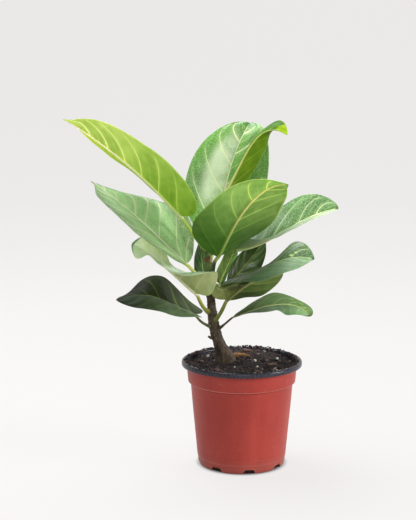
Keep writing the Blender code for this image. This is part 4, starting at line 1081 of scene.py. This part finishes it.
def pot_finish():
    """Terracotta-red plastic outside, black within and on the rim, with flow streaks, small scuffs,
    dust low on the wall, and painted highlight and shade lines along the ledge, under the rim and
    near the foot."""
    made, b, shader = new_finish("pot_plastic")
    where = b.place()
    split = b.node("SeparateXYZ")
    b.feed(split.inputs[0], where)
    black = b.ease(b.value("black"), 0.45, 0.55)
    streak = b.noise(b.stretched(where, (1.0, 1.0, 0.06)), 55.0, 3.0)
    broad = b.noise(where, 14.0, 3.0)
    fine = b.noise(where, 380.0, 4.0, 0.6)
    red = b.mix(b.ease(broad, 0.3, 0.7), colour(152, 48, 39), colour(165, 60, 49))
    red = b.mix(b.ease(streak, 0.35, 0.7, 0.0, 0.35), red, colour(136, 40, 34))
    scuff = b.times(b.ease(b.noise(b.stretched(where, (1.0, 1.0, 2.2)), 120.0, 5.0, 0.7), 0.62, 0.72), 0.35)
    red = b.mix(scuff, red, colour(206, 130, 116))
    stain = b.times(b.ease(b.noise(where, 38.0, 4.0, 0.65), 0.64, 0.76), 0.45)
    red = b.mix(stain, red, colour(96, 46, 40))
    # Painted highlight and painted shade: pale lines where the ledge, the band under the rim and the foot
    # step catch light, dark lines where they are shaded.
    for level, tone, share in ((0.1054, (226, 142, 124), 0.7), (0.1253, (214, 128, 110), 0.55),
                               (0.1035, (116, 38, 34), 0.6), (0.0112, (196, 104, 90), 0.35),
                               (0.0190, (128, 44, 38), 0.3)):
        off = b.maths("ABSOLUTE", b.maths("SUBTRACT", split.outputs[2], level))
        line = b.times(b.ease(off, 0.0003, 0.0009, share, 0.0), b.ease(fine, 0.3, 0.6, 0.5, 1.0))
        red = b.mix(line, red, colour(*tone))
    dust = b.times(b.ease(split.outputs[2], 0.022, 0.002), b.ease(fine, 0.35, 0.7, 0.15, 0.6))
    red = b.mix(dust, red, colour(120, 78, 66))
    dark = b.mix(b.ease(fine, 0.3, 0.7), colour(34, 34, 42), colour(52, 52, 62))
    crumbs = b.times(b.ease(b.noise(where, 240.0, 5.0, 0.7), 0.6, 0.7), 0.5)
    dark = b.mix(crumbs, dark, colour(78, 62, 52))
    shader.inputs["Specular IOR Level"].default_value = 0.3
    gloss = b.mix(black, b.ease(fine, 0.2, 0.8, 0.40, 0.52), b.ease(fine, 0.2, 0.8, 0.20, 0.36))
    relief = b.maths("ADD", b.times(streak, 0.6), b.times(fine, 0.25))
    dressed(b, shader, b.mix(black, red, dark), gloss, relief, 0.0006, 0.35)
    return made


def subdivided(profile, step):
    """The profile with extra points on its straight stretches, no further apart than step."""
    made = []
    for (r0, z0), (r1, z1) in zip(profile, profile[1:]):
        parts = max(1, math.ceil(math.hypot(r1 - r0, z1 - z0) / step))
        made += [(r0 + (r1 - r0) * k / parts, z0 + (z1 - z0) * k / parts) for k in range(parts)]
    return np.array(made + [profile[-1]])


def build_pot():
    """A turned shell whose columns gather at the eight foot notches: in each notch the foot's outer
    and inner skins are left out, and the four cut edges are closed with wall faces."""
    outside, rim, inside, foot_out, foot_in = pot_profiles()
    wall = np.concatenate([subdivided(outside, 4.0)[:-1],
                           subdivided(outside[-1:] + rim + inside[:1], 0.7)[:-1],
                           subdivided(inside, 6.0)])
    rim_start = len(subdivided(outside, 4.0)) - 1
    in_notch, between = 8, 24
    sector = 2 * math.pi / NOTCHES

    def turns(r, z):
        """Angles of the columns at a height: evenly within each notch and between notches."""
        half = np.interp(z, [0, NOTCH_H], [NOTCH_W / 2, NOTCH_TOP_W / 2])
        a = math.asin(half / max(r, 46.5))
        inner = np.linspace(-a, a, in_notch + 1)[:-1]
        outer = np.linspace(a, sector - a, between + 1)[:-1]
        one = np.concatenate([inner, outer])
        start = math.radians(-90 + NOTCH_TURN)
        return np.concatenate([one + start + sector * k for k in range(NOTCHES)])

    def ring(r, z):
        t = turns(r if z <= NOTCH_H else outside[0][0], min(z, NOTCH_H))
        return np.stack([r * np.cos(t), r * np.sin(t), z + 0 * t], axis=1)

    around = (in_notch + between) * NOTCHES
    under = [(r, 0.0) for r in (4, 12, 20, 28, 36, 43)]
    over = [(r, 1.2) for r in (43, 36, 28, 20, 12, 4)]
    profile = under + foot_out + [tuple(p) for p in wall[1:-1]] + foot_in[::-1] + over
    rings = np.array([ring(r, z) for r, z in profile])
    out_a, out_b = len(under), len(under) + len(foot_out) - 1
    in_b = out_b + len(wall) - 1
    in_a = in_b + len(foot_in) - 1
    count = len(profile)
    quads = rings_to_quads(count, around)
    row, column = quads[:, 0] // around, quads[:, 0] % around
    cut = column % (in_notch + between) < in_notch
    foot = ((row >= out_a) & (row < out_b)) | ((row >= in_b) & (row < in_a))
    quads = quads[~(cut & foot)]
    walls = []
    for k in range(NOTCHES):
        first = k * (in_notch + between)
        for edge, flip in ((first, False), (first + in_notch, True)):
            i = np.arange(out_b - out_a)
            a, c = (out_a + i) * around + edge, (in_a - i) * around + edge
            face = np.stack([a, a + around, c - around, c], axis=1)
            walls.append(face[:, ::-1] if flip else face)
        j = first + np.arange(in_notch)
        for here, across in ((out_b * around, in_b * around), (in_a * around, out_a * around)):
            walls.append(np.stack([here + j, here + j + 1, across + j + 1, across + j], axis=1))
    quads = np.concatenate([quads] + walls)
    points = np.concatenate([rings.reshape(-1, 3), [[0, 0, 0], [0, 0, 1.2]]])
    level = np.arange(count)
    black = (level >= out_b + rim_start + 1).astype(float)
    black = np.concatenate([np.repeat(black, around), [0, 1]])
    shell = piece("pot_shell", points, quads, pole_fans(count, around), pot_finish(), {"black": black})
    finished(shell, "pot_plastic", "pot")


# ---------------------------------------------------------------- potting mix
def mix_top(x, y):
    """Height of the mix: nearly level, heaped at the back and round the stem and higher along the
    rim, with soft clods, a curved crack in front of the root, fine roughness and shallow pits."""
    z = SOIL_Z + 0.012 * y + BACK_H * smooth(20, 55, y) * smooth(-52, -22, x)
    z = z + MOUND_H * np.exp(-((x - 4) ** 2 + (y - 40) ** 2) / (2 * 26 ** 2))
    z = z + 1.6 * np.exp(-((x + 22) ** 2 + (y - 20) ** 2) / (2 * 17 ** 2))
    for lx, ly, h, r in LUMPS:
        z = z + h * np.exp(-((x - lx) ** 2 + (y - ly) ** 2) / (2 * r * r)) - 0.12 * h
    crack = np.hypot(x + 8, y - 38) - 34.5
    turn = np.degrees(np.arctan2(y - 38, x + 8))
    z = z - 3.2 * np.exp(-(crack / 1.5) ** 2) * smooth(-118, -104, turn) * smooth(-44, -58, turn)
    z = z + 1.9 * smooth(50, 63, np.hypot(x, y)) * (1 - smooth(20, 55, y) * 0.6)
    where = np.stack([x, y, 0 * x], axis=-1)
    z = z + 0.8 * cloud(where, 7.0, 3, 3) + 0.5 * np.abs(cloud(where, 2.6, 9, 2))
    hole = 4.0 * smooth(0.45, 0.8, cloud(where, 11.0, 23, 2))
    return z - hole * smooth(64, 58, np.hypot(x, y))


def mix_finish():
    """Nearly black mix with brown fibres and darker patches."""
    made, b, shader = new_finish("potting_mix")
    where = b.place()
    clod = b.noise(where, 120.0, 6.0, 0.7)
    fibre = b.noise(b.stretched(where, (1.0, 0.4, 1.0)), 420.0, 5.0, 0.7)
    mix = b.mix(b.ease(clod, 0.35, 0.7), colour(18, 14, 13), colour(46, 34, 32))
    mix = b.mix(b.ease(fibre, 0.55, 0.75, 0.0, 0.8), mix, colour(74, 50, 44))
    mix = b.mix(b.ease(fibre, 0.4, 0.25, 0.0, 0.7), mix, colour(14, 12, 12))
    dressed(b, shader, mix, b.ease(clod, 0.2, 0.8, 0.8, 0.98), b.maths("ADD", clod, fibre), 0.0022, 1.0)
    return made


def build_mix():
    """Rings up the pot's inner wall, then inwards over the top, whose height is mix_top."""
    around = 240
    t = np.arange(around) * 2 * math.pi / around
    circle = np.stack([np.cos(t), np.sin(t)], axis=1)
    rings = [np.column_stack([circle * (r - GAP), np.full(around, z + GAP)]) for r, z in SOIL_INSIDE]
    edge = mix_top(*(circle * 66.5).T)
    low = np.minimum(edge - 1.5, 126.5)
    wall = 65.8 + (low - 107.2) * 0.085 - GAP
    rings.append(np.column_stack([circle * wall[:, None], low]))
    for r in np.linspace(66.6, 0.8, 83):
        flat = circle * r
        rings.append(np.column_stack([flat, mix_top(flat[:, 0], flat[:, 1])]))
    rings = np.array(rings)
    count = len(rings)
    crown = mix_top(np.zeros(1), np.zeros(1))[0]
    points = np.concatenate([rings.reshape(-1, 3), [[0, 0, 1.6], [0, 0, crown]]])
    body = piece("potting_mix_body", points, rings_to_quads(count, around), pole_fans(count, around),
                 mix_finish())
    finished(body, "potting_mix", "potting_mix")


# ---------------------------------------------------------------- loose bits
def chip_finish(name, dark, light, fibre_scale):
    """Fibrous or porous bits: two tones mixed by streaks along each bit."""
    made, b, shader = new_finish(name)
    where = b.place()
    fibre = b.noise(b.stretched(where, (0.5, 1.0, 1.0)), fibre_scale, 5.0, 0.65)
    shade = b.mix(b.ease(fibre, 0.3, 0.7), colour(*dark), colour(*light))
    dressed(b, shader, shade, 0.85, fibre, 0.0008, 0.9)
    return made


def pebble(size, seed, rows=22, around=32, rough=0.16):
    """A rounded box, (cos^0.6, sin^0.6) in both directions, roughened with soft noise."""
    phi = np.linspace(-math.pi / 2, math.pi / 2, rows + 2)[1:-1]
    t = np.arange(around) * 2 * math.pi / around

    def squared(a):
        return np.sign(a) * np.abs(a) ** 0.62
    ring = np.stack([squared(np.cos(t)), squared(np.sin(t))], axis=1)
    grid = np.concatenate([squared(np.cos(phi))[:, None, None] * ring[None],
                           (squared(np.sin(phi))[:, None] * np.ones(around))[..., None]], axis=2)
    points = np.concatenate([grid.reshape(-1, 3), [[0, 0, -1], [0, 0, 1]]])
    grow = 1 + rough * cloud(points * 1.4, 1.0, seed, 2)
    points = points * grow[:, None] * np.array(size) / 2 * 0.94
    return points, rings_to_quads(rows, around), pole_fans(rows, around)


def turned(points, turn, tilt):
    """The points tilted about Y and then turned about Z, in degrees."""
    a, c = math.radians(turn), math.radians(tilt)
    tilted = points @ np.array([[math.cos(c), 0, math.sin(c)], [0, 1, 0], [-math.sin(c), 0, math.cos(c)]]).T
    return tilted @ np.array([[math.cos(a), -math.sin(a), 0], [math.sin(a), math.cos(a), 0], [0, 0, 1]]).T


def build_bits():
    """Each chip or grain is a roughened pebble, turned, and centred in its CAD node's box."""
    bark = chip_finish("bark_chip", (54, 38, 34), (110, 80, 70), 300.0)
    grain = chip_finish("perlite", (170, 168, 162), (214, 212, 206), 700.0)
    for number, (name, kind, _, size, turn, tilt) in enumerate(BITS):
        is_bark = kind == "bark"
        points, quads, tris = pebble(size, 60 + number, rough=0.2 if is_bark else 0.3)
        points = turned(points, turn, tilt)
        low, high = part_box(name)
        middle = np.array([(low[k] + high[k]) / 2 / MM for k in range(3)])
        points = points - (points.min(axis=0) + points.max(axis=0)) / 2 + middle
        bit = piece(name + "_piece", points, quads, tris, bark if is_bark else grain)
        finished(bit, "bark_chip" if is_bark else "perlite", name)


def crumb_finish():
    """Crumbs in the tones of the mix: nearly black, brown, reddish brown, and a few pale ones."""
    made, b, shader = new_finish("crumbs")
    ramp = b.node("ValToRGB")
    b.feed(ramp.inputs[0], b.value("tone"))
    stops = ramp.color_ramp
    stops.interpolation = "CONSTANT"
    tones = ((0.0, (24, 19, 18)), (0.4, (42, 32, 30)), (0.68, (66, 46, 42)), (0.86, (90, 62, 56)),
             (0.96, (122, 96, 88)), (0.99, (200, 197, 190)))
    for k, (at, tone) in enumerate(tones):
        stop = stops.elements[k] if k < 2 else stops.elements.new(at)
        stop.position = at
        stop.color = colour(*tone)
    fine = b.noise(b.place(), 800.0, 4.0, 0.7)
    skin = b.mix(b.ease(fine, 0.6, 0.3, 0.0, 0.6), ramp.outputs[0], (0.01, 0.008, 0.008, 1))
    dressed(b, shader, skin, 0.9, fine, 0.0006, 0.8)
    return made


CRUMBS_DRAWN = 2400      # before those at the stem's foot are left out
CRUMBS_ON_TOP = 1500     # the rest lie along the rim


def build_crumbs():
    """Crumbs on the mix and along the rim: one 20-sided lump, stretched, turned and set at random
    places, none of them within 15 mm of the stem's foot."""
    draw = np.random.default_rng(77)
    golden = (1 + 5 ** 0.5) / 2
    base = np.array([(-1, golden, 0), (1, golden, 0), (-1, -golden, 0), (1, -golden, 0), (0, -1, golden),
                     (0, 1, golden), (0, -1, -golden), (0, 1, -golden), (golden, 0, -1), (golden, 0, 1),
                     (-golden, 0, -1), (-golden, 0, 1)]) / math.hypot(1, golden)
    near = np.linalg.norm(base[:, None] - base[None], axis=2) < 1.1
    faces = [(a, c, d) for a in range(12) for c in range(a + 1, 12) for d in range(c + 1, 12)
             if near[a, c] and near[a, d] and near[c, d]]
    faces = np.array([f if np.dot(np.cross(base[f[1]] - base[f[0]], base[f[2]] - base[f[0]]), base[f[0]]) > 0
                      else f[::-1] for f in faces])
    count = CRUMBS_DRAWN
    r = np.where(np.arange(count) < CRUMBS_ON_TOP, 65.5 * np.sqrt(draw.random(count)),
                 65 + 6.3 * draw.random(count))
    t = draw.random(count) * 2 * math.pi
    x, y = r * np.cos(t), r * np.sin(t)
    clear = np.hypot(x + 22, y - 20) > 15
    size = 0.55 + 1.35 * draw.random((count, 1)) ** 2.2
    stretch = np.array([1.0, 0.62, 0.5]) + draw.random((count, 3)) * np.array([0.9, 0.4, 0.3])
    lumps = base[None] * (1 + 0.22 * (draw.random((count, 12, 1)) - 0.5)) * (size * stretch)[:, None]
    a, c = draw.random(count) * 2 * math.pi, (draw.random(count) - 0.5) * 1.1
    ca, sa, cc, sc = np.cos(a), np.sin(a), np.cos(c), np.sin(c)
    zero, one = np.zeros(count), np.ones(count)
    spin = np.array([[ca, -sa, zero], [sa, ca, zero], [zero, zero, one]]).transpose(2, 0, 1)
    tip = np.array([[cc, zero, sc], [zero, one, zero], [-sc, zero, cc]]).transpose(2, 0, 1)
    lumps = np.einsum("nij,nkj->nki", spin @ tip, lumps)
    heap = 1.8 * draw.random(count) * smooth(20, 60, y) * smooth(70, 60, np.abs(x - 5))
    rest = np.where(r > 67, 131.9 + heap, np.minimum(mix_top(x, y), 131.5))
    lumps += np.stack([x, y, rest + size[:, 0] * 0.25], axis=1)[:, None]
    lumps = lumps[clear]
    tone = np.repeat(draw.random(count)[clear], 12)
    tris = (faces[None] + 12 * np.arange(len(lumps))[:, None, None]).reshape(-1, 3)
    crumbs = piece("mix_crumbs", lumps.reshape(-1, 3), [], tris, crumb_finish(), {"tone": tone}, None, False)
    finished(crumbs, "potting_mix")


# ---------------------------------------------------------------- floor, lights, camera
def build_studio():
    """A floor of dark grey paper that looks pale because it glows, and sweeps up behind the plant on
    a quarter circle. Under the pot it neither glows nor reflects: a painted contact shadow that
    darkens the floor round the foot. Three round soft lights (front right, overhead and high in
    front) and even white light all round."""
    run = np.linspace(-12.0, 2.6, 30)
    arc = np.linspace(0, math.pi / 2, 24)[1:]
    profile = [(y, 0.0) for y in run] + [(2.6 + 1.2 * math.sin(a), 1.2 - 1.2 * math.cos(a)) for a in arc]
    profile += [(3.8, 1.2 + k * 0.5) for k in range(1, 8)]
    width = np.linspace(-12.0, 12.0, 25)
    points = np.array([(x, y, z) for y, z in profile for x in width])
    i, j = np.meshgrid(np.arange(len(profile) - 1), np.arange(len(width) - 1), indexing="ij")
    a = (i * len(width) + j).ravel()
    mesh = bpy.data.meshes.new("floor")
    quads = np.stack([a, a + 1, a + 1 + len(width), a + len(width)], axis=1)
    mesh.from_pydata(points.tolist(), [], quads.tolist())
    mesh.polygons.foreach_set("use_smooth", [True] * len(mesh.polygons))
    floor = bpy.data.objects.new("floor", mesh)
    bpy.context.scene.collection.objects.link(floor)
    paper, b, shader = new_finish("floor_paper")
    split = b.node("SeparateXYZ")
    b.feed(split.inputs[0], b.place())
    squares = [b.times(split.outputs[k], split.outputs[k]) for k in (0, 1)]
    far = b.maths("SQRT", b.maths("ADD", *squares))
    # Painted contact shadow: near the pot's axis the floor is near black and does not glow.
    clear = b.ease(far, *PAINTED_SHADOW_RADII)
    shade = b.mix(clear, (0.0, 0.0, 0.0, 1), GLOW_COLOUR)
    b.feed(shader.inputs["Base Color"], b.mix(clear, PAINTED_SHADOW_COLOUR, FLOOR_COLOUR))
    shader.inputs["Roughness"].default_value = 0.9
    shader.inputs["Specular IOR Level"].default_value = 0.1
    b.feed(shader.inputs["Emission Color"], shade)
    shader.inputs["Emission Strength"].default_value = FLOOR_GLOW
    mesh.materials.append(paper)

    world = bpy.data.worlds.new("studio")
    bpy.context.scene.world = world
    world.use_nodes = True
    world.node_tree.nodes["Background"].inputs[0].default_value = (1.0, 1.0, 1.0, 1)
    world.node_tree.nodes["Background"].inputs[1].default_value = WORLD_LIGHT
    for name, place, aim, size, power, tint in LIGHTS:
        lamp = bpy.data.lights.new(name, "AREA")
        lamp.shape, lamp.size, lamp.energy, lamp.color = "DISK", size, power, tint
        obj = bpy.data.objects.new(name, lamp)
        obj.location = place
        obj.rotation_euler = (Vector(aim) - Vector(place)).to_track_quat("-Z", "Y").to_euler()
        bpy.context.scene.collection.objects.link(obj)


def build_camera():
    """A little above the plant's top, looking 9 degrees down from 1.6 m in front."""
    lens = bpy.data.cameras.new("camera")
    lens.lens, lens.sensor_width, lens.clip_end = CAMERA_LENS, 36.0, 50.0
    camera = bpy.data.objects.new("camera", lens)
    camera.location = CAMERA_PLACE
    camera.rotation_euler = (math.radians(90 - CAMERA_DOWN), 0, 0)
    bpy.context.scene.collection.objects.link(camera)
    bpy.context.scene.camera = camera
    bpy.context.scene.view_settings.view_transform = "Standard"


FLOOR_COLOUR = (0.08, 0.08, 0.08, 1)
FLOOR_GLOW = 0.78
GLOW_COLOUR = (1.0, 0.98, 0.965, 1)
# The painted contact shadow under the pot: its colour and the distances over which it ends.
PAINTED_SHADOW_COLOUR = (0.004, 0.004, 0.004, 1)
PAINTED_SHADOW_RADII = (0.047, 0.060)      # distance from the pot's axis over which the dark patch ends, m
WORLD_LIGHT = 0.25
# name, place, aim, width, power in watts, colour
LIGHTS = [
    ("front_right", (1.9, -0.7, 0.8), (0.0, 0.0, 0.2), 0.8, 36.0, (1.0, 0.99, 0.97)),
    ("overhead", (-0.5, 0.4, 1.8), (0.0, 0.0, 0.3), 1.2, 54.0, (1.0, 1.0, 1.0)),
    ("front_top", (0.06, -2.3, 1.35), (0.0, 0.0, 0.35), 1.3, 20.0, (1.0, 1.0, 1.0)),
]
CAMERA_PLACE = (-0.0421, -1.6, 0.515)
CAMERA_DOWN = 9.14
CAMERA_LENS = 91.05


def main():
    """The camera, every piece in turn, then the floor and the lights."""
    build_camera()
    blade_look, stalk_look = blade_pattern(), stalk_pattern()
    for name in LEAVES:
        build_leaf(name, blade_look, stalk_look)
    build_stem()
    build_scraps()
    build_pot()
    build_mix()
    build_bits()
    build_crumbs()
    build_studio()


main()
